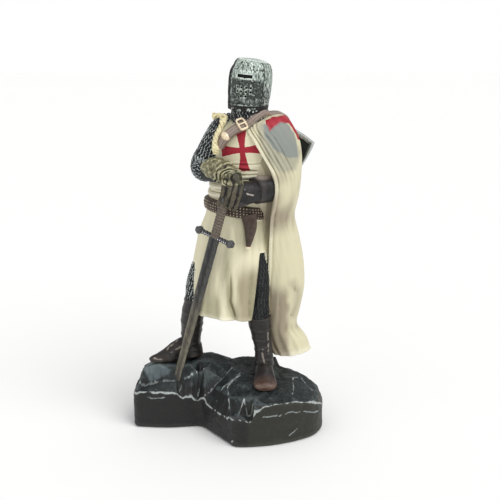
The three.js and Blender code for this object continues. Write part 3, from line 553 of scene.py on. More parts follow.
RIGHT_LEG = [
    [-2, 2, 116, 7.5, 8], [-7.4, 0.5, 103, 6.6, 7.4], [-12.2, -1, 92, 6, 6.8], [-15.6, -1.4, 81, 5.9, 6.4],
    [-17, -1, 73, 5.2, 5.6], [-19, 1.5, 63, 5.4, 6], [-20, 4, 53, 4.9, 5.4], [-20.5, 6, 46, 4.5, 5],
    [-19.5, 6.2, 38, 4.2, 4.6],
]
LEFT_LEG = [
    [12, 2, 116, 8, 8], [14, 0, 103, 7.2, 7.6], [16, -2.5, 92, 6.2, 6.8], [17, -4, 81, 4.9, 5.8],
    [17, -4.2, 72, 4.7, 5.4], [16.9, -2, 62, 5.4, 6], [18, -2, 53, 4.5, 5.2], [19.3, -3.5, 45, 4.1, 4.6],
    [19.6, -4, 36, 4.6, 5],
]
RIGHT_FOOT = [
    [-14.6, 8.4, 39.5, 1.5, 2], [-16.5, 7.6, 39.8, 4.2, 4.4], [-21.5, 5.8, 42.2, 4.7, 6.8],
    [-27.5, 3.6, 41.2, 4.5, 6], [-33, 1.8, 39.2, 4.5, 4.4], [-38, 0.4, 38, 3.6, 2.9],
    [-41.5, -0.6, 38, 2, 1.7], [-43, -1, 38.4, 0.6, 0.5],
]
LEFT_FOOT = [
    [19.4, 4.8, 32, 1.5, 2], [19.4, 3.6, 32.5, 4.2, 4.6], [19.5, -1, 34.5, 4.6, 6.4],
    [19.6, -7, 34, 4.9, 5.8], [19.8, -12.5, 31.9, 5.8, 4.6], [20, -17, 30.4, 6.2, 3.3],
    [20, -20, 29.6, 5.4, 2.4], [20, -21.4, 29.2, 3, 1.2],
]
RIGHT_BOOT_TOP = 73
LEFT_BOOT_TOP = 64
BOOT_WALL = 0.7

BELT_HEIGHT = 123
BELT_TILT = 2.6
BELT_MIDDLE = [5.4, 0.1]
BELT_HALF = [15.9, 12.9]
HEM = 66
# The skirt's slits: angle, half width in degrees, rise above the hem and the share with a level top.
SLITS = [[-166, 24, 27, 0.1], [-37.5, 20, 36, 0.4]]
# Its folds: angle at the belt, angle at the hem, depth and width in degrees.
SKIRT_FOLDS = [
    [-152, -152, 1.6, 7], [-132, -136, 1.5, 8], [-116, -120, 0.3, 6], [-100, -99, 1.9, 8], [-72, -69, 1.6, 9],
    [-56, -52, 1.3, 6], [-10, -8, 1.8, 9], [14, 16, 1.8, 9], [40, 41, 2.2, 10], [66, 64, 2, 9],
    [90, 92, 2.4, 10], [116, 114, 2, 9], [138, 141, 2.2, 9], [160, 164, 1.8, 8],
]
# Its middle in x and y, and its half widths, from the belt down.
SKIRT = [
    [5.5, 0.2, 15.8, 12.4], [5.2, 0, 16.8, 13.4], [4.6, -0.2, 18, 14.2], [3.6, -0.4, 19.2, 14.7],
    [2.6, -0.4, 19.8, 15], [1.8, -0.2, 20, 15.4], [1.4, 0, 20, 15.8],
]
CHEST_TURN = -13
TORSO = [
    [5.5, 0.2, 117, 15.6, 12.2], [5.4, 0.2, 124, 15.4, 12], [6, 0.3, 131, 15.2, 11.9],
    [7.2, 0.4, 139, 15.6, 12.2], [8.6, 0.6, 147, 16.6, 12.9], [10.2, 0.8, 155, 17.6, 13],
    [11.6, 1, 162, 17.4, 12], [12.4, 1, 167.5, 13, 9.6], [12.5, 0.8, 171, 8, 7.4],
]
# Creases of the cloth above the belt: height and depth.
CREASES = [[131.5, 0.9], [135.8, 0.8], [140.2, 0.7], [145, 0.4]]
SHARP_CREASES = [
    [138.9, 0.5], [140.7, 0.45], [143, 0.5], [145.4, 0.4], [148.4, 0.25], [133.4, 0.4], [129.8, 0.3],
]
COLLAR = [
    [12.2, 0.4, 162, 13, 10.2], [12.2, 0, 166.5, 11.4, 10.2], [12, -0.6, 170, 9.8, 9.8],
    [11.8, -0.8, 174, 8.6, 8.8], [11.8, -0.8, 178, 8, 8],
]
RIGHT_ARM = [
    [4.5, 2, 162, 7, 7], [0.4, 2, 163.4, 7.2, 7.4], [-4, 1.6, 158.6, 6.6, 7], [-8.4, 1.1, 151.6, 5.9, 6.4],
    [-12, 0.6, 145.8, 5.6, 6], [-12.4, -3, 143, 4.9, 5], [-8.5, -9, 142.6, 4.5, 4.6],
    [-3, -14.5, 142.4, 4, 4.2],
]
LEFT_ARM = [
    [19, 2, 161, 7, 7], [25, 2.8, 160, 7, 7], [29, 3, 150.5, 6, 6.4], [30.2, 3, 141.5, 5.5, 6],
    [27.6, -2, 136.2, 5.6, 5.8], [22.6, -9.4, 134.4, 5.8, 5.8], [14.5, -15.6, 134, 5.4, 5.4],
]
RIGHT_CUFF = [
    [-11.8, -7.4, 144.4, 2.2, 2.2], [-10.2, -8.8, 144.8, 3.8, 3.6], [-7.6, -11, 145, 5.4, 5],
    [-4, -14, 145, 6, 5.6], [-0.6, -16.6, 144.2, 5.8, 5.6], [2.2, -18.6, 142.2, 5.4, 5.2],
    [4, -20, 139, 5, 4.4], [4, -21, 135, 4.4, 3.4], [3.4, -21.4, 132.4, 3.2, 2],
]
LEFT_HAND = [
    [15.6, -15.4, 134, 5.2, 5.2], [11.6, -18, 134, 5.8, 5.2], [7.6, -19.6, 133.4, 6, 4.8],
    [3, -20, 132, 5.2, 4.2], [0.2, -19.6, 130.6, 3.2, 3],
]
FINGER_WIDTH = 3.6
RIGHT_FINGERS = [[-0.2, -22.6, 139.8], [2.3, -24, 139.4], [4.9, -23.8, 138.6], [7.2, -22.4, 137.4]]
LEFT_FINGERS = [[6.4, -22.4, 132.4], [5.6, -22.4, 129.2]]
HILT = np.array([-2.1, -23, 125.1])
SWORD_WAY = unit([0.2525, -0.1935, 0.948])
GUARD_TURN = -27
POMMEL_RISE = 7
GUARD_DROP = 14.2
BELT_END = [
    [11.4, -13, 121.5, 4, 1.6], [12.2, -14.2, 115.5, 3.3, 1.6], [11.8, -15.6, 110.5, 2.3, 1.5],
    [11.2, -16.4, 106.6, 1.4, 1.4], [11, -16.6, 104.6, 1, 1],
]
GUIGE = [
    [29.4, 13, 161], [29.6, 8, 166.4], [25, 2.6, 170.2], [18.4, -4.2, 169.8], [12.4, -9.8, 168.4],
    [7, -12.4, 166.8], [2.6, -13.2, 164.4], [-1.2, -13.2, 161], [-4.4, -12, 156],
]
BUCKLE_PLACE = 0.61
CHAPE_PLACE = 0.86
CHEST_MIDDLE = [12, 1.5]
CHEST_TOP = 158
CORD = [
    [-6.6, -4, 170.4], [-3.6, -5, 170.8], [-1.2, -7, 170.2], [-1.6, -9.4, 167.6], [-3.2, -10.6, 164.4],
    [-4.8, -11.4, 161.2], [-5.6, -12, 157.6], [-5.2, -12.4, 154.6], [-5, -12.2, 152.6],
]
# Knots along the cord: share of its length, how far each stands out and how long it is.
CORD_KNOTS = [[0, 0.5, 0.05], [0.27, 0.75, 0.045], [0.36, 0.5, 0.03], [0.86, 0.7, 0.06], [1, 0.3, 0.05]]
HELM_FOOT = np.array([11.2, -1, 173.6])
HELM_TURN = -15
HELM_LEAN = 5.5
FACE_PLATE = 53
SLIT_PLACE = 0.665
SLIT_HALF_WIDTH = 0.19 * HELM_WIDTH
BAND_PLACE = [0.585, 0.77]
# The helm from its foot up: share of its height, and its half widths as shares of the widest.
HELM = [
    [-0.02, 0.9, 0.9], [0.04, 0.92, 0.94], [0.08, 0.93, 0.95], [0.1, 0.92, 0.95], [0.3, 0.98, 1.0],
    [0.575, 1.0, 1.02], [0.6, 1.0, 1.02], [0.755, 0.965, 0.97], [0.775, 0.95, 0.96], [0.9, 0.85, 0.86],
    [0.97, 0.78, 0.79], [1.0, 0.68, 0.7],
]
HELM_DEPTH_RATIO = 1.16
# Angles of the light streaks painted as highlights down the helm's right side.
HELM_STREAKS = [59, 72]
PLATE_LEFT = -46
# The cloak from its neck down: height, middle in x and y, half widths, angles of its front and back edges,
# and how far its left side is lifted.
CLOAK = [
    [170, 16.6, 2, 7, 6.6, -112, 160, 1], [167, 18.4, 1.8, 12.2, 13.6, -134, 160, 2.6],
    [159, 20.2, 1.8, 16.2, 16.6, -113, 156, 2], [150, 20.4, 2, 18.2, 17.8, -94, 150, 0.6],
    [140, 20.6, 2, 18.2, 19, -79, 140, 0], [129, 21, 2.2, 16.6, 18.4, -79, 128, 0],
    [118, 22, 3.4, 13.6, 15.2, -88, 120, 0], [106, 24, 4.6, 14.2, 13.6, -98, 118, 0],
    [92, 27, 6, 13.8, 13, -112, 122, 0], [78, 28.8, 7.6, 12.6, 12.4, -128, 128, 0],
    [64, 28.6, 9.2, 10.6, 11.6, -144, 136, 0], [54, 28, 10.4, 9.6, 11.2, -152, 142, 0],
    [45, 30.8, 11.2, 11.8, 11, -158, 148, 0], [37.6, 33.6, 11.4, 11.4, 11.2, -160, 152, 0],
]
# Its folds: angles at the neck, the elbow and the hem, depth and width in degrees.
CLOAK_FOLDS = [
    [-104, -64, -130, 1.5, 5], [-90, -50, -112, 1.2, 6], [-70, -30, -84, 1.6, 8], [-50, -8, -58, 1.2, 8],
    [-20, 12, -30, 1.6, 9], [8, 34, -4, 1.7, 9], [34, 58, 24, 1.6, 9], [60, 82, 52, 1.8, 9],
    [86, 104, 80, 1.6, 9], [112, 122, 108, 1.6, 8],
]
# The dip beside its lower fold, by places along and up its front; the cloak's painted shade also follows it.
BROWN_FOLD = [[34.6, 82], [37.4, 77], [37.6, 71], [36.6, 66.5], [35, 63]]
SHIELD_MIDDLE = np.array([29.7, 16.1, 147.8])
SHIELD_UP = unit([0.34, -0.2, 0.92])
SHIELD_OUT = np.array([0.51, 0.86, 0])
SHIELD_SIDE = unit(np.cross(SHIELD_UP, SHIELD_OUT))
SHIELD_FACE = np.cross(SHIELD_SIDE, SHIELD_UP)
SHIELD_TOP = SHIELD_HEIGHT * 0.4
SHIELD_CURVE = 0.018


# Surcoat, cloak and limbs


def chest_relief(t, angle, points):
    """Creases of the blousing above the belt, and the small pulls of the cloth."""
    z = points[..., 2]
    height = 0.0
    for level, depth in CREASES:
        height = height + depth * bump(z - level + 1.2 * np.sin(2 * angle), 1.1)
    flat = points.reshape(-1, 3) * [0.5, 0.7, 1.6]
    wander = grain(flat * [1, 1, 0.1], 7, 13, 2).reshape(z.shape)
    for k, (level, depth) in enumerate(SHARP_CREASES):
        gap = z - level + 0.1 * (points[..., 0] - 12) * math.cos(2.1 * k) + 0.7 * wander
        crease = bump(gap, 0.42) - 0.8 * bump(gap + 0.75, 0.45)
        height = height + depth * crease * smooth(-0.7, 0.3, wander)
    return height + 0.3 * grain(flat, 6, 11).reshape(z.shape) * smooth(160, 142, z)


def surcoat_chest():
    """The cloth over the chest, with its blousing above the belt."""
    side = (math.cos(math.radians(CHEST_TURN)), math.sin(math.radians(CHEST_TURN)), 0)
    return skin(limb(TORSO, side, sides=190, steps=130, relief=chest_relief))


def waist(angle):
    """Middle of the belt at an angle about the waist, in degrees."""
    return BELT_HEIGHT - BELT_TILT * np.cos(np.radians(angle))


def hem_line(angle):
    """Height of the skirt's hem at an angle about the waist."""
    height = HEM - 1.6 * np.cos(np.radians(angle + 20))
    for middle, width, rise, square in SLITS:
        height = height + rise * (1 - smooth(square * width, width, np.abs(turn(angle, middle))))
    return height


def surcoat_skirt():
    """The skirt from the belt to its hem, with its folds, its two slits and its turned lip."""
    sides, steps = 330, 100
    angle = (np.arange(sides) * 360 / sides - 180)[None, :]
    t = np.linspace(0, 1, steps + 1)[:, None]
    z = waist(angle) + (hem_line(angle) - waist(angle)) * t
    fall = (waist(angle) - z) / (waist(angle) - HEM)
    row = along(SKIRT, fall)
    out = -0.6 * fall
    for top, bottom, depth, width in SKIRT_FOLDS:
        crest = bump(turn(angle, top + (bottom - top) * fall), width)
        out = out + (0.12 + 0.88 * fall) * depth * crest
    # Fuller on the right side, with one deep groove at the front, small wrinkles and a turned hem.
    out = out + 2.6 * smooth(0.06, 0.3, fall) * bump(turn(angle, -176), 26)
    groove = turn(angle, -94 + 4 * smooth(0.5, 0.8, fall) + 9 * smooth(0.8, 1, fall))
    out = out - 1.1 * smooth(0.35, 0.8, fall) * bump(groove, 3.4)
    fine = np.stack([np.broadcast_to(0.32 * angle, z.shape), 0.16 * z, 0 * z], -1)
    out = out + 0.2 * smooth(0, 0.3, fall) * grain(fine, 2.8, 5, 2).reshape(z.shape)
    out = out + 0.35 * smooth(0.975, 0.99, t)
    turned = np.radians(angle)
    rings = np.stack(
        [
            row[..., 0] + (row[..., 2] + out) * np.cos(turned),
            row[..., 1] + (row[..., 3] + out) * np.sin(turned),
            z,
        ],
        -1,
    )
    middle = rings[-1].mean(0)
    lip = rings[-1] + (middle - rings[-1]) * [0.09, 0.09, 0]
    inner = lip + [0, 0, 3.5]
    return skin(np.concatenate([rings, lip[None], inner[None]]))


def cloak_folds(fall, angle):
    """How far the folds push the cloth out at a fall, 0 at the neck and 1 at the hem, and an angle."""
    out = -0.5 + 0 * angle
    for high, elbow, low, depth, width in CLOAK_FOLDS:
        above = high + (elbow - high) * (fall / 0.25)
        beneath = elbow + (low - elbow) * smooth(0.25, 0.9, fall)
        place = np.where(fall < 0.25, above, beneath)
        soft = 1 + 0.45 * smooth(0.3, 0.8, fall)
        crest = bump(turn(angle, place), width * soft)
        out = out + depth / soft * (0.35 + 0.65 * smooth(0.15, 0.9, fall)) * crest
    return out * (1 - 0.62 * smooth(0.14, 0.28, fall) * smooth(0.97, 0.8, fall))


def cloak():
    """The cloth from its front edge round to its back edge, then back underneath."""
    steps, across, under = 190, 220, 20
    t = np.linspace(0, 1, steps + 1)[:, None]
    row = along(CLOAK, t[:, 0])
    z, x, y, wide, deep, front, back, lift = [row[:, k, None] for k in range(8)]
    fall = (170 - z) / 132
    share = np.linspace(0, 1, across + 1)[None, :]
    angle = front + (back - front) * share
    # Thick at both edges, with creases beside the front one near the neck, wrinkles and a turned hem.
    from_edge = np.minimum(share, 1 - share) * np.radians(back - front) * wide
    out = cloak_folds(fall, angle)
    edge = 0.5 * (1 + np.tanh((1.6 - from_edge) / 0.35))
    out = out + 0.75 * HEM_THICKNESS * edge * smooth(0, 0.05, fall)
    from_front = share * np.radians(back - front) * wide
    wander = grain(np.stack([0.2 * z + 0 * angle, 0 * angle, 0 * angle], -1), 4, 15, 1)
    wander = wander.reshape(angle.shape)
    for offset, depth in ((2.6, 0.42), (4.5, 0.34), (6.6, 0.4), (9.0, 0.3), (11.6, 0.34)):
        gap = from_front - offset * (1 + 0.7 * fall) + 0.5 * wander
        crease = bump(gap, 0.42) - 0.7 * bump(gap + 0.85, 0.45)
        out = out + depth * crease * smooth(0.3, 0.15, fall)
    fine = np.stack([0.35 * angle, 0.13 * z + 0 * angle, 0 * angle], -1)
    out = out + 0.15 * grain(fine, 3.2, 9, 2).reshape(angle.shape)
    out = out + 0.3 * smooth(0.985, 0.995, t)
    turned = np.radians(angle)
    z = z + smooth(0.8, 1, fall) * (1.6 + 1.0 * smooth(-0.3, 0.9, np.cos(turned)))
    flat = np.stack([x + (wide + out) * np.cos(turned), z], -1).reshape(-1, 2)
    away = away_from_run(flat, BROWN_FOLD).reshape(angle.shape)
    out = out - 0.55 * bump(away, 1.7) * smooth(0.1, -0.2, np.sin(turned)) * smooth(84, 76, z)

    def sheet(turned, wide, deep, z):
        """Points round the cloak's middle, its left side lifted."""
        up = z + lift * np.maximum(0, np.cos(turned))
        return np.stack([x + wide * np.cos(turned), y + deep * np.sin(turned), up], -1)

    outer = sheet(turned, wide + out, deep + out, z)
    z = row[:, 0, None] + 1.6 * smooth(0.8, 1, fall)
    way_back = np.linspace(0, 1, under + 1)[None, :]
    turned = np.radians(back + 1 + (358 - (back - front)) * way_back)
    inner = sheet(turned, wide * 0.78, deep * 0.78, z)
    return skin(np.concatenate([outer, inner], 1))


def leather_folds(levels, slant, amount):
    """Uneven creases of soft leather round a limb at given heights."""

    def relief(t, angle, points):
        """How far the creases stand out at points of the limb."""
        z = points[..., 2]
        wander = grain(points, 5.0, 73, 1).reshape(z.shape)
        swell = 0.55 + 0.7 * grain(points, 6.0, 75, 1).reshape(z.shape)
        height = 0.0
        for k, level in enumerate(levels):
            gap = z - level + slant * np.sin(angle + 1.9 * k) + 1.1 * wander
            height = height + amount * np.clip(swell, 0.1, 1.2) * bump(gap, 0.8)
        return height

    return relief


def boot(stations, top, foot, foot_side, levels):
    """A tall boot: its shaft with a turned top edge, and the foot."""
    start = share_at_height(stations, top + 0.8)
    folds = leather_folds(levels, 1.1, 0.38)

    def relief(t, angle, points):
        """The leather's thickness over the leg, with its turned edge and its creases."""
        edge = 0.35 * bump(points[..., 2] - top + 0.4, 0.7)
        return BOOT_WALL + edge + folds(t, angle, points)

    shaft = limb(stations, sides=90, steps=110, start=start, relief=relief)
    shoe = limb(foot, foot_side, sides=72, steps=80)
    return [skin(shaft), skin(shoe)]


def mail_limb(stations, side, start, end, sides=90, steps=90):
    """The plain limb that carries rings of mail."""
    return skin(limb(stations, side, sides=sides, steps=steps, start=start, end=end))


def right_gauntlet():
    """The flared cuff and the hand whose fingers fold down over the pommel."""
    half = FINGER_WIDTH / 2
    skins = [skin(limb(RIGHT_CUFF, (0.6, -0.5, 0.6), sides=90, steps=90))]
    for x, y, z in RIGHT_FINGERS:
        finger = [
            [x + 0.4, y + 2.6, z + 1.6, 1, 1],
            [x, y - 0.4, z, half * 0.95, half * 0.9],
            [x - 0.9, y - 2.4, z - 4.6, half * 0.82, half * 0.95],
            [x - 2.4, y - 2.2, z - 9, half * 0.8, half * 0.8],
            [x - 3.4, y - 0.6, z - 11.4, 0.8, 0.8],
        ]
        skins.append(skin(limb(finger, sides=28, steps=36)))
    return skins


# Where the soft wrist of the right gauntlet folds over: middle, radius, depth and width of each crease.
WRIST_FOLDS = [
    [[3.1, -20, 140.7], 8.6, 0.7, 0.5], [[2.6, -20, 140.2], 6.4, 0.75, 0.45],
    [[3.4, -20, 140.9], 4.7, 0.5, 0.4], [[5.6, -20, 141.2], 3.4, 0.8, 0.5],
]
WRIST_AXIS = unit([-0.02, 0.98, -0.18])


def wrist_creases(points, ways):
    """Deep soft creases over the wrist of the right gauntlet, and small ones all over."""
    height = 0.16 * grain(points, 1.8, 63, 2) + 0.22 * grain(points * [1, 1, 0.5], 3.2, 67, 2)
    facing = smooth(0.25, -0.3, ways @ WRIST_AXIS)
    broken = smooth(-0.75, 0.35, grain(points, 2.6, 69, 2))
    for middle, radius, depth, width in WRIST_FOLDS:
        away = points - np.array(middle)
        flat = away - (away @ WRIST_AXIS)[:, None] * WRIST_AXIS
        round_it = np.degrees(np.arctan2(flat[:, 2], flat[:, 0]))
        reach = smooth(195, 170, np.abs(turn(round_it, 110)) + 60)
        wander = 0.75 * grain(points, 3.4, 71, 2)
        gap = np.linalg.norm(flat, axis=1) - radius + wander
        crease = bump(gap, width) - 0.7 * bump(gap + 1.25 * width, width)
        height = height + facing * reach * broken * depth * crease
    return height


def left_gauntlet():
    """The hand that closes round the grip."""
    half = FINGER_WIDTH / 2
    skins = [skin(limb(LEFT_HAND, (0, 0, 1), sides=70, steps=50))]
    for x, y, z in LEFT_FINGERS:
        finger = [
            [x + 5.4, y + 2.4, z + 0.4, 1.4, 1.5], [x + 2, y, z, half, half],
            [x - 2.6, y - 0.2, z - 0.8, half, half], [x - 6.4, y + 1.6, z - 1.8, 1.2, 1.3],
        ]
        skins.append(skin(limb(finger, (0, 0, 1), sides=28, steps=30)))
    return skins


# Sword

sword_flat = unit(np.array([1, 0, 0]) - SWORD_WAY[0] * SWORD_WAY)
guard_angle = math.radians(GUARD_TURN)
sword_turned = np.cross(SWORD_WAY, sword_flat)
SWORD_ACROSS = sword_flat * math.cos(guard_angle) + sword_turned * math.sin(guard_angle)
SWORD_FACE = np.cross(SWORD_WAY, SWORD_ACROSS)


def on_sword(across, face, rise):
    """Points of the sword: across its width, out of its face, and up from the hilt's middle."""
    across, face, rise = np.broadcast_arrays(across, face, rise)
    flat = across[..., None] * SWORD_ACROSS + face[..., None] * SWORD_FACE
    return HILT + flat + rise[..., None] * SWORD_WAY


def sword_blade():
    """The blade with its fuller and its nicked edges, narrower towards the point."""
    length = SWORD_LENGTH - GUARD_DROP - POMMEL_RISE
    half, thin, fuller = BLADE_WIDTH / 2, BLADE_THICKNESS / 2, BLADE_WIDTH / 9
    edge = [[half, 0], [half - 0.25, 0.28], [half - 1, thin], [half - 1.5, thin]]
    upper = mirrored([*edge, [fuller, thin], [fuller * 0.6, thin * 0.96]], [0, thin * 0.94])
    section = np.vstack([upper, upper[-2:0:-1] * [1, -1]])
    down = np.linspace(0, 1, 200)[:, None]
    narrow = 1 - 0.38 * down**1.5
    across, face = section[None, :, 0] * narrow, section[None, :, 1] * narrow
    rings = on_sword(across, face, -GUARD_DROP - length * down)
    nicks = 0.12 * grain(rings, 3.5, 21).reshape(rings.shape[:2])
    return skin(rings + nicks[..., None] * SWORD_ACROSS * np.sign(section[None, :, 0, None]))


def sword_grip():
    """The grip with its cord wrap."""
    rise = np.linspace(-GUARD_DROP, POMMEL_RISE, 240)[:, None]
    angle = np.linspace(0, 2 * np.pi, 40, endpoint=False)[None, :]
    wrap = np.abs(np.sin(np.pi * rise / 1.6 + angle / 2))
    radius = GRIP_DIAMETER / 2 - 0.12 + 0.34 * wrap
    return skin(on_sword(radius * np.cos(angle), radius * np.sin(angle), rise))


def sword_guard():
    """The bar with its notched knobs, and the pommel."""
    x = np.linspace(-GUARD_LENGTH / 2, GUARD_LENGTH / 2, 160)[:, None]
    reach = np.abs(x) / (GUARD_LENGTH / 2)
    half = GUARD_THICKNESS / 2
    notch = 0.28 * bump((np.abs(x) - 3.6) % 1.7 - 0.85, 0.3) * (reach < 0.78)
    knob = GUARD_THICKNESS * 0.8
    from_knob = np.minimum(np.abs(np.abs(x) - GUARD_LENGTH / 2 + knob), knob)
    swell = np.sqrt(np.maximum(0, knob**2 - from_knob**2))
    thick = np.maximum(half * (0.9 + 0.12 * reach) - notch, swell)
    angle = np.linspace(0, 2 * np.pi, 40, endpoint=False)[None, :]
    square = 1 / np.maximum(np.abs(np.cos(angle)), np.abs(np.sin(angle))) ** 0.55
    rings = on_sword(x, thick * square * np.cos(angle), thick * square * np.sin(angle) - GUARD_DROP)
    pitch = np.linspace(-np.pi / 2, np.pi / 2, 26)[1:-1, None]
    radius = GRIP_DIAMETER * 0.6
    ball = on_sword(
        radius * np.cos(pitch) * np.cos(angle),
        radius * np.cos(pitch) * np.sin(angle),
        POMMEL_RISE + radius * np.sin(pitch),
    )
    return together([skin(rings), skin(ball)])


# Belts, straps and cord


def belt():
    """The waist belt, bowed across its width."""
    steps = 360
    half = [
        [-0.5, -3], [-0.5, 0], [-0.49, 0.5], [-0.45, 0.9], [-0.38, 1.15], [-0.3, 1.35], [-0.2, 1.5],
        [-0.1, 1.6],
    ]
    profile = mirrored(half, [0, 1.65])
    angle = (np.arange(steps) * 2 * np.pi / steps)[:, None]
    relief = np.where(profile[:, 1] > 0, profile[:, 1] * BELT_RELIEF, profile[:, 1])[None, :]
    z = waist(np.degrees(angle)) + profile[None, :, 0] * BELT_WIDTH
    x = BELT_MIDDLE[0] + (BELT_HALF[0] + relief) * np.cos(angle)
    y = BELT_MIDDLE[1] + (BELT_HALF[1] + relief) * np.sin(angle)
    return hoop(np.stack([x, y, z], -1))


def away_from_chest(points):
    """The way that points away from the chest and the top of the shoulders."""
    x, y, z = points.T
    up = np.maximum(0, 1.6 * (z - CHEST_TOP))
    return unit(np.stack([x - CHEST_MIDDLE[0], 1.5 * (y - CHEST_MIDDLE[1]), up], 1))


def strap(points, outward, width, relief):
    """A leather strap along a line of points, with its edges pressed in along the seams."""
    way = unit(np.gradient(points, axis=0))
    out = unit(outward - (outward * way).sum(1, keepdims=True) * way)
    across = np.cross(way, out)
    half = [[-0.5, -2], [-0.5, 0.4], [-0.46, 0.9], [-0.4, 1], [-0.34, 0.74], [-0.28, 1]]
    profile = mirrored(half, [0, 1.06])
    depth = np.where(profile[:, 1] > 0, profile[:, 1] * relief, profile[:, 1])
    rings = points[:, None] + across[:, None] * (profile[:, 0] * width)[None, :, None]
    return skin(rings + out[:, None] * depth[None, :, None])


def laid_over(line, outward, under):
    """A line carried out along its outward ways until it lies on the outermost of the pieces under it."""
    rise = np.full(len(line), -1.0)
    for thing in under:
        faces = [face.vertices[:] for face in thing.data.polygons]
        tree = BVHTree.FromPolygons([point.co for point in thing.data.vertices], faces)
        for i, (place, out) in enumerate(zip(line, outward)):
            found = tree.ray_cast(Vector((place + 14 * out) * MM), Vector(-out))[0]
            if found is not None:
                rise[i] = max(rise[i], (np.array(found) / MM - place) @ out)
    soft = np.hanning(17)
    rise = np.convolve(np.pad(rise, 8, "edge"), soft / soft.sum(), "valid")
    return line + outward * rise[:, None]


def strap_place(line, t):
    """Place, way along, outward way and way across of the shield strap at a share of its length."""
    i = int(t * (len(line) - 1))
    way = unit(line[min(i + 5, len(line) - 1)] - line[i - 5])
    out = away_from_chest(line[i : i + 1])[0]
    out = unit(out - out.dot(way) * way)
    return line[i], way, out, np.cross(out, way)


def buckle(line):
    """The strap's frame buckle with its tongue, and the chape at the strap's end."""
    place, way, out, across = strap_place(line, BUCKLE_PLACE)
    wide, high, wire = STRAP_WIDTH + 3, 5, 0.62
    turned = 2 * np.pi * np.arange(64) / 64
    corners = np.stack([np.cos(turned), np.sin(turned)], 1)
    corners = np.abs(corners) ** 0.35 * np.sign(corners)
    corners = corners * [(wide - 2 * wire) / 2, (high - 2 * wire) / 2]
    frame_line = place + corners[:, :1] * across + corners[:, 1:] * way + (BELT_RELIEF + 0.5) * out
    middle = frame_line.mean(0)
    turns = np.linspace(0, 2 * np.pi, 12, endpoint=False)
    outward = unit(frame_line - middle)
    rings = (
        frame_line[:, None]
        + wire * np.cos(turns)[None, :, None] * outward[:, None]
        + 1.1 * wire * np.sin(turns)[None, :, None] * out
    )
    tongue = [
        [*(place + way * (s * 2.4) + out * (BELT_RELIEF + 0.9)), 0.38, 0.38] for s in (-1, -0.3, 0.4, 1)
    ]
    foot, way, out, across = strap_place(line, CHAPE_PLACE)
    pitch = np.linspace(-np.pi / 2, np.pi / 2, 22)[1:-1, None]
    ring = np.linspace(0, 2 * np.pi, 32, endpoint=False)[None, :]
    lump = (
        foot
        + (STRAP_WIDTH * 0.62 * np.cos(pitch) * np.cos(ring))[..., None] * across
        + (2.0 * np.sin(pitch) * np.ones_like(ring))[..., None] * way
        + (1.8 * np.cos(pitch) * np.sin(ring))[..., None] * out
    )
    return together([hoop(rings), skin(limb(tongue, sides=12, steps=12)), skin(lump)])


def cloak_cord():
    """The twisted cord with its toggle, knots and tassel."""
    stations = [[*place, CORD_DIAMETER / 2, CORD_DIAMETER / 2] for place in CORD]

    def twist(t, angle, points):
        """How far the knots and strands stand out."""
        knots = sum(size * bump(t - place, width) for place, size, width in CORD_KNOTS)
        strands = 0.3 * np.abs(np.sin(1.5 * angle + 2 * np.pi * 7 * t)) - 0.1
        return knots + strands

    return skin(limb(stations, sides=36, steps=300, relief=twist))


# Great helm and shield


def helm_place(points):
    """Points of the helm carried to where it stands on the shoulders."""
    a, b = math.radians(HELM_TURN), math.radians(HELM_LEAN)
    x, y, z = points[..., 0], points[..., 1], points[..., 2]
    x, y = x * math.cos(a) - y * math.sin(a), x * math.sin(a) + y * math.cos(a)
    x, z = x * math.cos(b) + z * math.sin(b), -x * math.sin(b) + z * math.cos(b)
    return HELM_FOOT + np.stack([x, y, z], -1)


# The breaths below the slit: x, and share of the helm's height.
VENTS = [[x, share] for share in (0.45, 0.37) for x in (-3.4, -1.25, 1.25, 3.4)]
VENTS += [[-1.2, 0.283], [1.2, 0.283]]
VENT_DEPTH = 0.9


def helm_surface(angle, share, raise_more=0.0):
    """The helm's surface at an angle from its front, in degrees, and a share of its height."""
    table = np.array(HELM)
    wide = np.interp(share, table[:, 0], table[:, 1])
    deep = np.interp(share, table[:, 0], table[:, 2])
    edge = smooth(FACE_PLATE + 1, FACE_PLATE - 1, np.abs(angle))
    low, high = BAND_PLACE
    in_band = smooth(low - 0.012, low, share) * smooth(high + 0.012, high, share)
    bar = smooth(8, 6.5, np.abs(angle)) * smooth(high, high - 0.01, share)
    rim = bump(share - 0.1, 0.014)
    height = 0.35 * edge + edge * np.maximum(0.12 * in_band, 0.12 * bar) + 0.2 * rim + raise_more
    cheek = smooth(-54, -64, angle) * smooth(-120, -90, angle)
    height = height + 0.7 * cheek * smooth(0.9, 0.7, share)
    ridge = 0.5 * bump(angle, 16)
    turned = np.radians(angle)
    x = (wide * HELM_WIDTH / 2 + height) * np.sin(turned)
    y = -(deep * HELM_WIDTH * HELM_DEPTH_RATIO / 2 + height + ridge) * np.cos(turned)
    worn = smooth(0.88, 1, share) * (0.5 + 1.4 * smooth(-1, 10, x))
    return np.stack([x, y, share * HELM_HEIGHT - worn], -1)


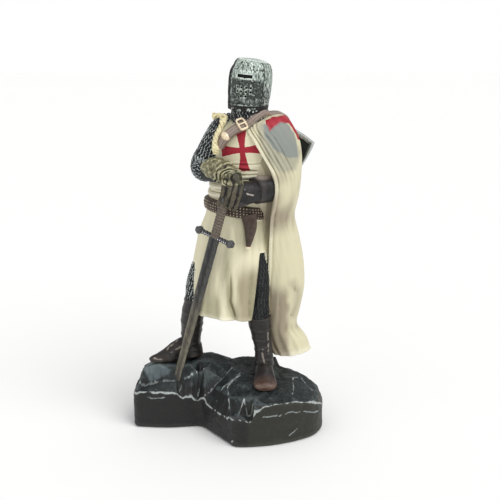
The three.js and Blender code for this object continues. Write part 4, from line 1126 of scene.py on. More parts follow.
def helm():
    """The helm's skin, with each of its points' angle, share of the height and depth of cut."""
    front = np.linspace(-62, 62, 224)
    back = np.linspace(62, 298, 92)[1:-1]
    angle = np.concatenate([front, back])[None, :]
    levels = np.concatenate([np.linspace(-0.02, 1, 158), [row[0] for row in HELM]])
    share = np.unique(levels)[:, None]
    wrapped = turn(angle, 0)
    plain = helm_surface(wrapped, share)
    x, z = plain[..., 0], plain[..., 2]
    cut = 0 * x
    facing = np.abs(wrapped) < 60
    slit = smooth(SLIT_HALF_WIDTH + 0.15, SLIT_HALF_WIDTH - 0.15, np.abs(x + 0.4))
    eyes = SLIT_PLACE * HELM_HEIGHT
    opening = SLIT_HEIGHT / 2 + 0.3 * bump(x, 0.8) * (z < eyes)
    slit = slit * smooth(0.12, -0.12, np.abs(z - eyes) - opening)
    cut = np.where(facing, np.maximum(cut, CUT_DEPTH * slit), cut)
    for vent_x, vent_share in VENTS:
        away = np.hypot(x - vent_x, z - vent_share * HELM_HEIGHT)
        cut = np.where(facing, np.maximum(cut, VENT_DEPTH * smooth(0.62, 0.42, away)), cut)
    seams = 0.16 * bump(np.abs(np.abs(wrapped) - FACE_PLATE - 1.6), 0.8)
    seams = seams + 0.14 * bump(share - 0.78, 0.006) * ~facing
    dents = 0.15 * grain(np.stack([x, plain[..., 1], 0.6 * z], -1), 1.5, 31, 3).reshape(x.shape)
    shell = helm_surface(wrapped, share, dents - cut - seams)
    crown = []
    for shrink, rise in ((0.985, 0.06), (0.93, 0.12), (0.6, 0.16), (0.25, 0.18)):
        last = shell[-1]
        middle = last.mean(0)
        crown.append(middle + (last - middle) * shrink + [0, 0, rise])
    points, faces = skin(helm_place(np.concatenate([shell, np.array(crown)])))
    angle, share = np.broadcast_arrays(wrapped, share)
    return points, faces, angle, share, cut


def shield_foot(share):
    """Height of the shield's lower edge at a share of its half width."""
    return SHIELD_TOP - SHIELD_HEIGHT * np.maximum(0.1, (1 - share) ** (1 / 2.2))


def shield():
    """The small shield: bowed across, with a metal rim round both faces."""
    share = np.linspace(-1, 1, 111)
    last = len(share) - 1
    foot = shield_foot(np.abs(share))
    x = share * SHIELD_WIDTH / 2
    down = np.linspace(0, 1, 70)
    rings = []
    for i in range(len(share)):
        z = SHIELD_TOP + (foot[i] - SHIELD_TOP) * down
        before, after = max(i - 1, 0), min(i + 1, last)
        slope = abs(foot[after] - foot[before]) / max(abs(x[after] - x[before]), 1e-6)
        to_edge = np.minimum(SHIELD_TOP - z, (z - foot[i]) / math.hypot(1, slope))
        to_edge = np.minimum(to_edge, SHIELD_WIDTH / 2 - abs(x[i]))
        sunk = smooth(SHIELD_RIM - 0.15, SHIELD_RIM + 0.15, to_edge)
        front = np.stack([np.full_like(z, x[i]), z, SHIELD_THICKNESS - 0.55 * sunk], 1)
        back = np.stack([np.full_like(z, x[i]), z, 0.45 * sunk], 1)[::-1]
        rings.append(np.vstack([front, back]))
    rings = np.array(rings)
    bow = -SHIELD_CURVE * rings[..., 0] ** 2
    return skin(
        SHIELD_MIDDLE
        + rings[..., 0, None] * SHIELD_SIDE
        + rings[..., 1, None] * SHIELD_UP
        + (rings[..., 2] + bow)[..., None] * SHIELD_FACE
    )


# Paint


def add(tree, kind, inputs=None, **settings):
    """A node of a tree, with its settings and the values or links of its inputs."""
    made = tree.nodes.new(kind)
    for name, value in settings.items():
        setattr(made, name, value)
    for key, value in (inputs or {}).items():
        if isinstance(value, bpy.types.NodeSocket):
            tree.links.new(value, made.inputs[key])
        else:
            made.inputs[key].default_value = value
    return made


def calc(tree, operation, *values):
    """The result of a sum on values or links."""
    return add(tree, "ShaderNodeMath", dict(enumerate(values)), operation=operation).outputs[0]


def ease(tree, value, low, high, start=0.0, end=1.0):
    """A value carried smoothly from between low and high to between start and end."""
    inputs = {0: value, 1: low, 2: high, 3: start, 4: end}
    return add(tree, "ShaderNodeMapRange", inputs, interpolation_type="SMOOTHSTEP").outputs[0]


def mixed(tree, share, first, second):
    """A colour between two others."""
    return add(tree, "ShaderNodeMix", {0: share, 6: first, 7: second}, data_type="RGBA").outputs[2]


def socket(tree, name, kind, value=None, way="INPUT"):
    """Gives a tree a named input or output."""
    made = tree.interface.new_socket(name, in_out=way, socket_type="NodeSocket" + kind)
    if value is not None:
        made.default_value = value


def colour(red, green, blue):
    """A paint's colour from its display values, 0 to 255."""
    shares = (red / 255, green / 255, blue / 255)
    linear = [v / 12.92 if v < 0.0404 else ((v + 0.055) / 1.055) ** 2.4 for v in shares]
    return (*linear, 1)


def kept_share(tree, name):
    """What a piece keeps at its points under a name."""
    return add(tree, "ShaderNodeAttribute", attribute_name=name).outputs["Fac"]


def set_inputs(node, values):
    """Sets a node's inputs by their names, which have an underscore for each space."""
    for key, value in values.items():
        node.inputs[key.replace("_", " ")].default_value = value


def paint_group():
    """Paint over carving: a wash that stays in the folds and a dry brush that catches the edges."""
    tree = bpy.data.node_groups.new("painted_carving", "ShaderNodeTree")
    for name, kind, value in (
        ("Base", "Color", None), ("Shade", "Color", None), ("Light", "Color", None), ("Wash", "Float", 0.7),
        ("Brush", "Float", 0.5), ("Mottle", "Float", 0.3), ("Mottle Size", "Float", 3.0),
        ("Stretch", "Float", 1.0), ("Roughness", "Float", 0.6), ("Grain", "Float", 0.5),
    ):
        socket(tree, name, kind, value)
    for name, kind in (("Color", "Color"), ("Roughness", "Float"), ("Height", "Float")):
        socket(tree, name, kind, way="OUTPUT")
    start = add(tree, "NodeGroupInput").outputs
    place = add(tree, "ShaderNodeTexCoord").outputs["Object"]
    tall = add(tree, "ShaderNodeCombineXYZ", {0: 1.0, 1: 1.0, 2: start["Stretch"]}).outputs[0]
    place = add(tree, "ShaderNodeVectorMath", {0: place, 1: tall}, operation="MULTIPLY").outputs[0]
    scale = calc(tree, "DIVIDE", 1000.0, start["Mottle Size"])
    cloud = add(tree, "ShaderNodeTexNoise", {"Vector": place, "Scale": scale, "Detail": 4.0}).outputs[0]
    dust = add(tree, "ShaderNodeTexNoise", {"Vector": place, "Scale": 1900.0, "Detail": 3.0}).outputs[0]
    broad = calc(tree, "MULTIPLY", kept_share(tree, "broad_relief"), 0.6)
    relief = calc(tree, "MULTIPLY_ADD", kept_share(tree, "fine_relief"), 0.55, broad)
    uneven = calc(tree, "SUBTRACT", cloud, 0.5)
    relief = calc(tree, "MULTIPLY_ADD", calc(tree, "MULTIPLY", uneven, start["Mottle"]), 1.6, relief)
    low = ease(tree, relief, 0.06, -0.62)
    low = calc(tree, "MULTIPLY", low, start["Wash"])
    shaded = mixed(tree, low, start["Base"], start["Shade"])
    high = ease(tree, relief, 0.12, 0.72)
    broken = ease(tree, dust, 0.36, 0.56, 0.35, 1.0)
    high = calc(tree, "MULTIPLY", calc(tree, "MULTIPLY", high, broken), start["Brush"])
    brushed = mixed(tree, high, shaded, start["Light"])
    rough = calc(tree, "MULTIPLY_ADD", uneven, 0.25, start["Roughness"])
    height = calc(tree, "ADD", dust, calc(tree, "MULTIPLY", cloud, 0.6))
    height = calc(tree, "MULTIPLY", height, start["Grain"])
    add(tree, "NodeGroupOutput", {"Color": brushed, "Roughness": rough, "Height": height})
    return tree


def cross_group():
    """The shape of a painted cross with flared arms, on the X and Z of its coordinates."""
    tree = bpy.data.node_groups.new("painted_cross", "ShaderNodeTree")
    for name, kind, value in (
        ("Vector", "Vector", None), ("Arm", "Float", 10.0), ("Middle Width", "Float", 1.2),
        ("End Width", "Float", 2.4), ("Softness", "Float", 0.12),
    ):
        socket(tree, name, kind, value)
    socket(tree, "Mask", "Float", way="OUTPUT")
    start = add(tree, "NodeGroupInput").outputs
    grown = add(tree, "ShaderNodeVectorMath", {0: start["Vector"], 3: 1000.0}, operation="SCALE").outputs[0]
    parts = add(tree, "ShaderNodeSeparateXYZ", {0: grown}).outputs
    wobble = add(tree, "ShaderNodeTexNoise", {"Vector": grown, "Scale": 0.9, "Detail": 2.0}).outputs[0]
    wobble = calc(tree, "MULTIPLY", calc(tree, "SUBTRACT", wobble, 0.5), 0.7)
    x = calc(tree, "ADD", calc(tree, "ABSOLUTE", parts[0]), wobble)
    z = calc(tree, "ADD", calc(tree, "ABSOLUTE", parts[2]), wobble)
    soft = start["Softness"]
    less = calc(tree, "MULTIPLY", soft, -1.0)
    arms = []
    for out, aside in ((x, z), (z, x)):
        share = calc(tree, "ABSOLUTE", calc(tree, "DIVIDE", out, start["Arm"]))
        flare = calc(tree, "MULTIPLY", calc(tree, "POWER", share, 1.8), start["End Width"])
        wide = calc(tree, "ADD", start["Middle Width"], flare)
        inside = ease(tree, calc(tree, "SUBTRACT", wide, aside), less, soft)
        short = ease(tree, calc(tree, "SUBTRACT", start["Arm"], out), less, soft)
        arms.append(calc(tree, "MULTIPLY", inside, short))
    add(tree, "NodeGroupOutput", {"Mask": calc(tree, "MAXIMUM", *arms)})
    return tree


PAINT = paint_group()
CROSS = cross_group()


def painted(tree, base, shade, light, values):
    """The colour, roughness and height of the painted carving group with its own colours and values."""
    group = add(tree, "ShaderNodeGroup", node_tree=PAINT)
    set_inputs(group, {"Base": colour(*base), "Shade": colour(*shade), "Light": colour(*light), **values})
    return group.outputs


def paint(name, base, shade, light, metallic=0.0, bump=0.12, specular=0.4, **values):
    """A paint on the casting. Its values are the inputs of the painted carving group."""
    made = bpy.data.materials.new(name)
    made.use_nodes = True
    made.diffuse_color = colour(*base)
    tree = made.node_tree
    shader = tree.nodes["Principled BSDF"]
    group = painted(tree, base, shade, light, values)
    shader.inputs["Metallic"].default_value = metallic
    shader.inputs["Specular IOR Level"].default_value = specular
    tree.links.new(group["Color"], shader.inputs["Base Color"])
    tree.links.new(group["Roughness"], shader.inputs["Roughness"])
    inputs = {"Height": group["Height"], "Strength": bump, "Distance": 0.0002}
    tree.links.new(add(tree, "ShaderNodeBump", inputs).outputs[0], shader.inputs["Normal"])
    return made


def over(material, mask_of, base, shade, light, **values):
    """More paint over a material, where mask_of(tree) is 1."""
    tree = material.node_tree
    base_color = tree.nodes["Principled BSDF"].inputs["Base Color"]
    under = base_color.links[0].from_socket
    more = painted(tree, base, shade, light, values)["Color"]
    tree.links.new(mixed(tree, mask_of(tree), under, more), base_color)


def cross_at(middle, turned, **values):
    """The mask of a cross painted flat on, with its middle and turns given, on the side that faces it."""

    def mask(tree):
        """The mask's nodes in a tree."""
        inputs = {
            "Vector": add(tree, "ShaderNodeTexCoord").outputs["Object"],
            "Location": [v * MM for v in middle],
            "Rotation": [math.radians(v) for v in turned],
        }
        flat = add(tree, "ShaderNodeMapping", inputs, vector_type="TEXTURE").outputs[0]
        shape = add(tree, "ShaderNodeGroup", {"Vector": flat}, node_tree=CROSS)
        set_inputs(shape, values)
        front = add(tree, "ShaderNodeSeparateXYZ", {0: flat}).outputs[1]
        return calc(tree, "MULTIPLY", shape.outputs[0], ease(tree, front, 0.011, 0.009))

    return mask


def spot_at(middle, size, edge, strength):
    """The mask of a soft spot round a place, as far across as size along each axis."""

    def mask(tree):
        """The mask's nodes in a tree."""
        inputs = {
            "Vector": add(tree, "ShaderNodeTexCoord").outputs["Object"],
            "Location": [v * MM for v in middle],
            "Scale": [v * MM for v in size],
        }
        flat = add(tree, "ShaderNodeMapping", inputs, vector_type="TEXTURE").outputs[0]
        away = add(tree, "ShaderNodeVectorMath", {0: flat}, operation="LENGTH").outputs["Value"]
        return ease(tree, away, 1 + edge, 1 - edge, 0.0, strength)

    return mask


def marked(name, low, high, strength=1.0):
    """The mask of a piece's own painted marks, kept at its points."""

    def mask(tree):
        """The mask's nodes in a tree."""
        return ease(tree, kept_share(tree, name), low, high, 0.0, strength)

    return mask


cloth = dict(base=(222, 216, 186), shade=(128, 122, 92), light=(244, 241, 222), Mottle=0.25, Mottle_Size=4.0)
red = dict(base=(158, 24, 44), shade=(84, 10, 26), light=(206, 74, 84), Wash=0.8, Brush=0.5)
SURCOAT = paint("surcoat_cloth", **cloth, Wash=0.75, Brush=0.6, Stretch=0.35, Roughness=0.62)
over(SURCOAT, cross_at((8.2, -12, 154.3), (0, -5, 0), Arm=10.6, Middle_Width=1.3, End_Width=1.8), **red)
SKIRT_CLOTH = paint("skirt_cloth", **cloth, Wash=0.9, Brush=0.6, Stretch=0.3, Roughness=0.62)
over(
    SKIRT_CLOTH, marked("pinkish", 0.1, 1.0, 0.85),
    (150, 138, 112), (92, 80, 62), (188, 176, 150), Mottle=0.4, Wash=0.8, Brush=0.5,
)
# Painted shade: olive in the skirt's valley, beside it, at its hem, under the belt and by its slit.
over(
    SKIRT_CLOTH, marked("olive", 0.1, 1.0, 0.85),
    (150, 146, 116), (92, 86, 62), (206, 202, 176), Mottle=0.5, Wash=0.9, Brush=0.5,
)
cloak_cloth = {**cloth, "base": (210, 204, 172), "light": (234, 230, 208)}
CLOAK_CLOTH = paint("cloak_cloth", **cloak_cloth, Wash=0.75, Brush=0.6, Stretch=0.3, Roughness=0.58)
# Painted shade: grey-brown on the cloak's lower front, along its lower fold and down its middle.
over(
    CLOAK_CLOTH, marked("weathered", 0.1, 0.9, 0.85),
    (150, 137, 117), (92, 82, 66), (190, 178, 156), Mottle=0.6, Wash=0.8, Brush=0.5,
)
over(
    CLOAK_CLOTH, marked("shaded", 0.1, 0.9, 0.8),
    (156, 154, 136), (108, 106, 90), (186, 184, 166), Brush=0.4,
)
over(CLOAK_CLOTH, marked("emblem", 0.3, 0.7), **red)
# Painted shade: a soft grey patch over the middle of the shoulder's emblem.
over(
    CLOAK_CLOTH, marked("faded", 0.2, 0.8, 0.94),
    (134, 139, 134), (102, 106, 100), (152, 157, 151), Wash=0.6, Brush=0.3,
)
UNDER_MAIL = paint("blackened_mail", (26, 29, 31), (10, 11, 12), (50, 56, 58), Roughness=0.55)
MAIL = paint(
    "silver_mail", (62, 68, 70), (12, 14, 15), (222, 230, 228), metallic=0.2,
    Wash=1.0, Brush=1.0, Mottle=2.2, Mottle_Size=1.8, Roughness=0.45,
)
# Painted shade: a darker copy of the silver mail for the left thigh, which lies in shade behind the skirt.
DARK_MAIL = paint(
    "dark_mail", (26, 28, 29), (8, 9, 9), (98, 104, 102), metallic=0.2,
    Wash=1.0, Brush=0.6, Mottle=2.2, Mottle_Size=1.8, Roughness=0.5,
)
HELM_STEEL = paint(
    "hammered_steel", (60, 67, 63), (11, 13, 13), (186, 198, 188), metallic=0.2, bump=0.5,
    Wash=1.0, Brush=1.0, Mottle=1.9, Mottle_Size=1.0, Roughness=0.5, Grain=1.0,
)
# Painted highlights: the upper face and crown where the light falls, the plate's edge, the side streaks, the
# line over the foot and glints.
over(
    HELM_STEEL, marked("bright", 0.1, 0.8), (158, 171, 162), (30, 36, 35), (232, 242, 234),
    Wash=1.0, Brush=1.0, Mottle=2.7, Mottle_Size=0.8, Stretch=0.4,
)
# Near-black in the helm's openings and seams, and painted shadow under its foot and down its shaded side.
over(HELM_STEEL, marked("hollow", 0.2, 0.8), (10, 11, 12), (4, 4, 4), (20, 22, 22), Brush=0.1)
GLOVE = paint(
    "glove_leather", (106, 101, 73), (34, 30, 17), (190, 186, 152),
    Wash=1.0, Brush=0.9, Mottle=0.9, Mottle_Size=2.2, Roughness=0.5,
)
over(
    GLOVE, marked("fingers", 0.2, 0.8), (36, 31, 23), (12, 10, 7), (128, 120, 96),
    Wash=1.0, Brush=0.4, Mottle=1.1, Mottle_Size=1.6,
)
# Painted shade: a dark spot in the hollow over the right wrist.
over(GLOVE, spot_at((4.8, -22, 142), (4.4, 6, 3.3), 0.35, 0.9), (36, 34, 22), (14, 13, 9), (92, 88, 64))
BOOT = paint(
    "boot_leather", (27, 23, 21), (9, 8, 7), (84, 76, 69),
    Wash=0.9, Brush=0.3, Mottle=0.5, Roughness=0.42,
)
# Painted highlights: light streaks on the boots and the edge of the left toe cap.
over(
    BOOT, marked("streaks", 0.2, 0.8, 0.8), (132, 124, 114), (60, 54, 48), (190, 184, 172),
    Mottle=0.8, Mottle_Size=1.2,
)
over(
    BOOT, spot_at((20, -19.5, 30), (7, 5.5, 5), 0.4, 0.9),
    (68, 49, 41), (30, 21, 17), (122, 98, 86), Brush=0.6,
)
SLEEVE = paint("charcoal_sleeve", (20, 18, 19), (9, 8, 9), (88, 79, 77), Wash=0.9, Brush=0.4, Roughness=0.5)
# Painted highlights: light streaks on the left glove.
over(SLEEVE, marked("streaks", 0.2, 0.8, 0.9), (164, 156, 150), (84, 76, 74), (206, 200, 194), Mottle=0.8)
# Painted highlight: a pale area on the top of the left sleeve where the light falls.
over(
    SLEEVE, spot_at((18.6, -15, 143), (5, 7, 2.6), 0.4, 0.7),
    (168, 154, 144), (96, 84, 78), (204, 192, 182),
)
BELT_LEATHER = paint(
    "belt_leather", (50, 37, 31), (18, 12, 10), (122, 106, 90),
    Wash=0.9, Brush=0.3, Mottle=0.6, Mottle_Size=2.0, Roughness=0.45,
)
STUD_PAINT = paint(
    "brushed_studs", (104, 90, 74), (24, 17, 14), (206, 190, 164),
    Wash=1.0, Brush=1.0, Mottle=1.6, Mottle_Size=2.0, Roughness=0.45,
)
STRAP_LEATHER = paint(
    "strap_leather", (128, 112, 104), (62, 48, 42), (176, 162, 150),
    Wash=0.8, Brush=0.5, Mottle=0.3, Roughness=0.5,
)
GOLD = paint(
    "pale_gold", (214, 188, 146), (96, 74, 50), (246, 232, 206), metallic=0.35,
    Wash=0.9, Brush=0.8, Roughness=0.4,
)
CORD_PAINT = paint(
    "cord_gold", (174, 156, 102), (48, 38, 16), (240, 232, 192),
    Wash=1.0, Brush=0.9, Mottle=2.0, Mottle_Size=2.0,
)
BLADE = paint(
    "blade_gunmetal", (34, 34, 35), (12, 12, 13), (98, 98, 94), bump=0.3,
    Wash=0.8, Brush=0.4, Mottle=1.2, Mottle_Size=1.1, Stretch=0.14, Roughness=0.5, Grain=1.0,
)
over(
    BLADE, spot_at((-22, -7, 52), (12, 12, 30), 0.6, 0.8),
    (84, 79, 66), (34, 31, 25), (150, 144, 126), Mottle=1.6, Mottle_Size=1.1, Stretch=0.14,
)
GUARD_STEEL = paint(
    "guard_steel", (22, 22, 24), (7, 7, 8), (188, 188, 192), specular=0.25,
    Wash=1.0, Brush=0.2, Roughness=0.5,
)
BEAD_STEEL = paint(
    "bead_steel", (150, 150, 154), (44, 44, 46), (226, 226, 230), metallic=0.2,
    Wash=1.0, Brush=1.0, Mottle=1.4, Mottle_Size=1.2, Roughness=0.45,
)
GRIP = paint(
    "grip_wrap", (34, 26, 22), (10, 8, 7), (186, 172, 156), specular=0.25,
    Wash=1.0, Brush=0.34, Roughness=0.6,
)
SHIELD_PAINT = paint(
    "shield_black", (42, 46, 48), (20, 22, 24), (96, 104, 106),
    Wash=0.8, Brush=0.5, Mottle=0.5, Roughness=0.5,
)
over(
    SHIELD_PAINT, marked("rim", 0.3, 0.7),
    (86, 92, 92), (36, 40, 42), (204, 210, 206), Mottle=0.5, Brush=0.9,
)
over(SHIELD_PAINT, marked("field", 0.3, 0.7), **cloth, Wash=0.7, Brush=0.5)
over(SHIELD_PAINT, marked("emblem", 0.3, 0.7), **red)
ROCK = paint(
    "rock_slate", (27, 34, 35), (12, 14, 14), (86, 95, 96), bump=0.6,
    Wash=0.95, Brush=0.55, Mottle=0.6, Mottle_Size=5.0, Roughness=0.52, Grain=1.0,
)
# Painted highlight: the lit face of the boulder under the right foot, paler.
over(ROCK, marked("pale", 0.1, 0.9, 0.85), (84, 95, 99), (48, 55, 57), (122, 132, 134), Mottle=0.6)
over(ROCK, marked("wall", 0.2, 0.8, 0.9), (20, 19, 18), (9, 9, 8), (54, 54, 50), Mottle=0.4, Brush=0.35)
over(
    ROCK, marked("olive", 0.2, 0.8, 0.9),
    (37, 37, 30), (16, 16, 12), (78, 78, 66), Mottle=0.4, Brush=0.35,
)
over(
    ROCK, marked("brushed", 0.2, 0.7, 0.9), (132, 140, 138), (74, 82, 83), (184, 190, 187),
    Mottle=1.2, Mottle_Size=1.3, Brush=0.9,
)


# What repeats


def maker_tree(name, sizes):
    """A tree of geometry nodes that takes points, sizes and a finish, and what goes into it."""
    tree = bpy.data.node_groups.new(name, "GeometryNodeTree")
    socket(tree, "Geometry", "Geometry")
    for key, kind, value in sizes:
        socket(tree, key, kind, value)
    socket(tree, "Finish", "Material")
    socket(tree, "Geometry", "Geometry", way="OUTPUT")
    return tree, add(tree, "NodeGroupInput").outputs


def kept_way(tree, name, kind="FLOAT_VECTOR"):
    """What the points of a tree keep under a name."""
    return add(tree, "GeometryNodeInputNamedAttribute", {"Name": name}, data_type=kind).outputs[0]


def set_on_points(tree, start, shape, rotation):
    """Ends a tree with a shape on each point, turned and a little uneven in size, as one plain mesh."""
    smallest = calc(tree, "SUBTRACT", 1.0, start["Unevenness"])
    inputs = {2: smallest, 3: 1.0, "Seed": start["Seed"]}
    size = add(tree, "FunctionNodeRandomValue", inputs, data_type="FLOAT").outputs[1]
    inputs = {"Points": start["Geometry"], "Instance": shape, "Rotation": rotation, "Scale": size}
    whole = add(tree, "GeometryNodeInstanceOnPoints", inputs).outputs[0]
    whole = add(tree, "GeometryNodeRealizeInstances", {0: whole}).outputs[0]
    whole = add(tree, "GeometryNodeSetShadeSmooth", {0: whole}).outputs[0]
    whole = add(tree, "GeometryNodeSetMaterial", {0: whole, "Material": start["Finish"]}).outputs[0]
    add(tree, "NodeGroupOutput", {0: whole})


def mail_tree():
    """Rings of mail on points that know the way out of the surface and the way round it."""
    tree, start = maker_tree("mail_rings", (
        ("Ring Radius", "Float", 0.0007), ("Wire Radius", "Float", 0.00017), ("Ring Sides", "Int", 8),
        ("Wire Sides", "Int", 3), ("Lean", "Float", 0.45), ("Unevenness", "Float", 0.1), ("Seed", "Int", 4),
    ))
    circle = "GeometryNodeCurvePrimitiveCircle"
    ring = add(tree, circle, {"Resolution": start["Ring Sides"], "Radius": start["Ring Radius"]})
    wire = add(tree, circle, {"Resolution": start["Wire Sides"], "Radius": start["Wire Radius"]})
    inputs = {"Curve": ring.outputs[0], "Profile Curve": wire.outputs[0]}
    link = add(tree, "GeometryNodeCurveToMesh", inputs).outputs[0]
    align = "FunctionNodeAlignRotationToVector"
    facing = add(tree, align, {"Vector": kept_way(tree, "way_out")}, axis="Z").outputs[0]
    inputs = {"Rotation": facing, "Vector": kept_way(tree, "way_round")}
    facing = add(tree, align, inputs, axis="X", pivot_axis="Z").outputs[0]
    lean = calc(tree, "MULTIPLY", kept_way(tree, "row_lean", "FLOAT"), start["Lean"])
    lean = add(tree, "FunctionNodeAxisAngleToRotation", {"Axis": (0, 1, 0), "Angle": lean}).outputs[0]
    inputs = {"Rotation": facing, "Rotate By": lean}
    facing = add(tree, "FunctionNodeRotateRotation", inputs, rotation_space="LOCAL").outputs[0]
    set_on_points(tree, start, link, facing)
    return tree


def stud_tree():
    """Domed studs on points that know the way out of the surface."""
    tree, start = maker_tree("studs", (
        ("Stud Radius", "Float", 0.0004), ("Dome", "Float", 0.7), ("Unevenness", "Float", 0.15),
        ("Seed", "Int", 2),
    ))
    inputs = {"Segments": 8, "Rings": 5, "Radius": start["Stud Radius"]}
    ball = add(tree, "GeometryNodeMeshUVSphere", inputs).outputs[0]
    flat = add(tree, "ShaderNodeCombineXYZ", {0: 1.0, 1: 1.0, 2: start["Dome"]}).outputs[0]
    dome = add(tree, "GeometryNodeTransform", {"Geometry": ball, "Scale": flat}).outputs[0]
    inputs = {"Vector": kept_way(tree, "way_out")}
    facing = add(tree, "FunctionNodeAlignRotationToVector", inputs, axis="Z").outputs[0]
    set_on_points(tree, start, dome, facing)
    return tree


MAIL_RINGS = mail_tree()
STUDS = stud_tree()


def grown(name, marks, tree, **values):
    """The piece that a tree of nodes grows on marks: rows of a point and what is kept with it."""
    points = np.array([mark[0] for mark in marks])
    cloud = bpy.data.meshes.new(name + "_marks")
    cloud.from_pydata((points * MM).tolist(), [], [])
    kept = (("way_out", "FLOAT_VECTOR"), ("way_round", "FLOAT_VECTOR"), ("row_lean", "FLOAT"))
    for (key, kind), column in zip(kept, list(zip(*marks))[1:]):
        keep_at_points(cloud, key, column, kind)
    thing = bpy.data.objects.new(name, cloud)
    bpy.context.collection.objects.link(thing)
    maker = thing.modifiers.new(tree.name, "NODES")
    maker.node_group = tree
    for item in tree.interface.items_tree:
        if item.in_out == "INPUT" and item.name in values:
            maker[item.identifier] = values[item.name]
    graph = bpy.context.evaluated_depsgraph_get()
    mesh = bpy.data.meshes.new_from_object(thing.evaluated_get(graph))
    thing.modifiers.remove(maker)
    thing.data = mesh
    mesh.name = name
    bpy.data.meshes.remove(cloud)
    each = len(mesh.vertices) // len(marks)
    outward = np.repeat([mark[1] for mark in marks], each, axis=0)
    height = ((places(mesh) - np.repeat(points, each, axis=0)) * outward).sum(1)
    height = np.clip(height / np.percentile(height, 95), -1, 1)
    keep_at_points(mesh, "fine_relief", height)
    keep_at_points(mesh, "broad_relief", 0.3 * height)
    return thing


def mail_marks(rings):
    """Marks for mail rings on the surface through rings of points, in rows that lean by turns."""
    middles = rings.mean(1)
    steps = np.linalg.norm(rings[1:] - rings[:-1], axis=2).mean(1)
    down = np.concatenate([[0], np.cumsum(steps)])
    rows = int(down[-1] / (0.82 * RING_PITCH))
    marks = []
    for k in range(rows):
        place = np.interp((k + 0.5) * down[-1] / rows, down, np.arange(len(rings)))
        i = min(int(place), len(rings) - 2)
        ring = rings[i] + (rings[i + 1] - rings[i]) * (place - i)
        closed = np.vstack([ring, ring[:1]])
        round_steps = np.linalg.norm(np.diff(closed, axis=0), axis=1)
        gone = np.concatenate([[0], np.cumsum(round_steps)])
        count = int(gone[-1] / RING_PITCH)
        even = (np.arange(count) + 0.5 * (k % 2)) * gone[-1] / count
        ahead = (even + 0.3) % gone[-1]
        there, next_to = (
            np.stack([np.interp(way, gone, closed[:, n]) for n in range(3)], 1) for way in (even, ahead)
        )
        way_round = unit(next_to - there)
        out = unit(np.cross(way_round, unit(middles[i + 1] - middles[i])))
        out = out * np.sign(((there - middles[i]) * out).sum(1, keepdims=True))
        for p, o, w in zip(there, out, way_round):
            marks.append((p + o * RING_LIFT, o, w, 1.0 if k % 2 else -1.0))
    return marks


def guard_marks():
    """Marks for the beads along both faces of the guard."""
    found = []
    for side in (-1, 1):
        for x in np.linspace(-0.36, 0.36, 15) * GUARD_LENGTH:
            place = on_sword(x, side * 0.46 * GUARD_THICKNESS, -GUARD_DROP)
            found.append((place, side * SWORD_FACE))
    return found


def helm_marks():
    """Marks for the rivets of the helm's back plate, along its top seam and down its middle."""
    found = []
    rows = [(0.8, angle) for angle in range(92, 269, 11)]
    rows += [(share, 180) for share in np.arange(0.12, 0.75, 0.09)]
    for share, angle in rows:
        angles = np.array([angle, angle + 1, angle], float)
        here, beside, above = helm_surface(angles, np.array([share, share, share + 0.01]))
        out = np.cross(beside - here, above - here)
        out = unit(out * np.sign(out @ (here * [1, 1, 0])))
        placed = helm_place(np.stack([here, here + out]))
        found.append((placed[0], placed[1] - placed[0]))
    return found


def belt_marks():
    """Marks for the four rows of studs round the belt."""
    found = []
    for share, rise in ((-0.33, 1.28), (-0.11, 1.59), (0.11, 1.59), (0.33, 1.28)):
        wide, deep = BELT_HALF[0] + rise * BELT_RELIEF, BELT_HALF[1] + rise * BELT_RELIEF
        for k in range(64):
            angle = 2 * math.pi * k / 64
            c, s = math.cos(angle), math.sin(angle)
            z = waist(math.degrees(angle)) + share * BELT_WIDTH
            place = np.array([BELT_MIDDLE[0] + wide * c, BELT_MIDDLE[1] + deep * s, z])
            found.append((place, unit([c / wide, s / deep, 0])))
    return found


# The pieces

pieces = []


def keep(thing):
    """Adds a piece to the casting."""
    pieces.append(thing)
    return thing


def sculpted(name, points, faces, material, fine=0.7, broad=2.4, height=None):
    """A piece from its points and faces, with its folds and edges marked for the paint."""
    mesh = mesh_from(name, points, turned_out(points, faces))
    if height is not None:
        raise_by(mesh, height)
    mark_relief(mesh, fine, broad)
    return keep(show(name, mesh, material))


def melted(name, skins, material, voxel=0.32, rounds=3, fine=0.6, broad=1.8, height=None):
    """A piece fused from several skins."""
    skins = [(points, turned_out(points, faces)) for points, faces in skins]
    mesh = fused(name, skins, voxel, rounds)
    if height is not None:
        raise_by(mesh, height)
    mark_relief(mesh, fine, broad)
    return keep(show(name, mesh, material))


def rings_over(name, rings, finish=MAIL):
    """Mail rings on the surface through rings of points."""
    sizes = {"Ring Radius": 0.56 * RING_PITCH * MM, "Wire Radius": RING_WIRE * MM}
    return keep(grown(name, mail_marks(rings), MAIL_RINGS, **sizes, Finish=finish))


def studs_on(name, marks, radius, finish):
    """Domed studs on marks."""
    return keep(grown(name, marks, STUDS, **{"Stud Radius": radius * MM, "Finish": finish}))


# Where the dry brush leaves a light line: along these edges of the rocks, in scratches over their top,
# by places on the base, and in lines on the front walls, by places along and up them.
BRUSHED_EDGES = [
    "ledge over the left wall", "notch", "foot of the lobe", "edge of the lobe", "crease to the notch",
    "crease to the lobe", "cleft", "face over the notch", "dark face", "step below the right foot",
    "crease of the lobe",
]
SCRATCHES = [
    [[-11.4, -10.8], [-10.9, -8.8], [-6.2, -11.6], [-7.6, -13.8]], [[-4.5, -12.5], [2.6, -9.4]],
    [[0.2, -11.2], [6.6, -5.7]],
]
WALL_LINES = [
    [[18.8, 17.2], [27.7, 17.1], [33, 18.1], [41.1, 16.5], [48.7, 13.3]], [[32.6, 4.6], [36.9, 7.6]],
    [[-43.9, 18.2], [-39.9, 17.9], [-34.5, 18.6]], [[2.6, 2.8], [3, 3.6]],
]
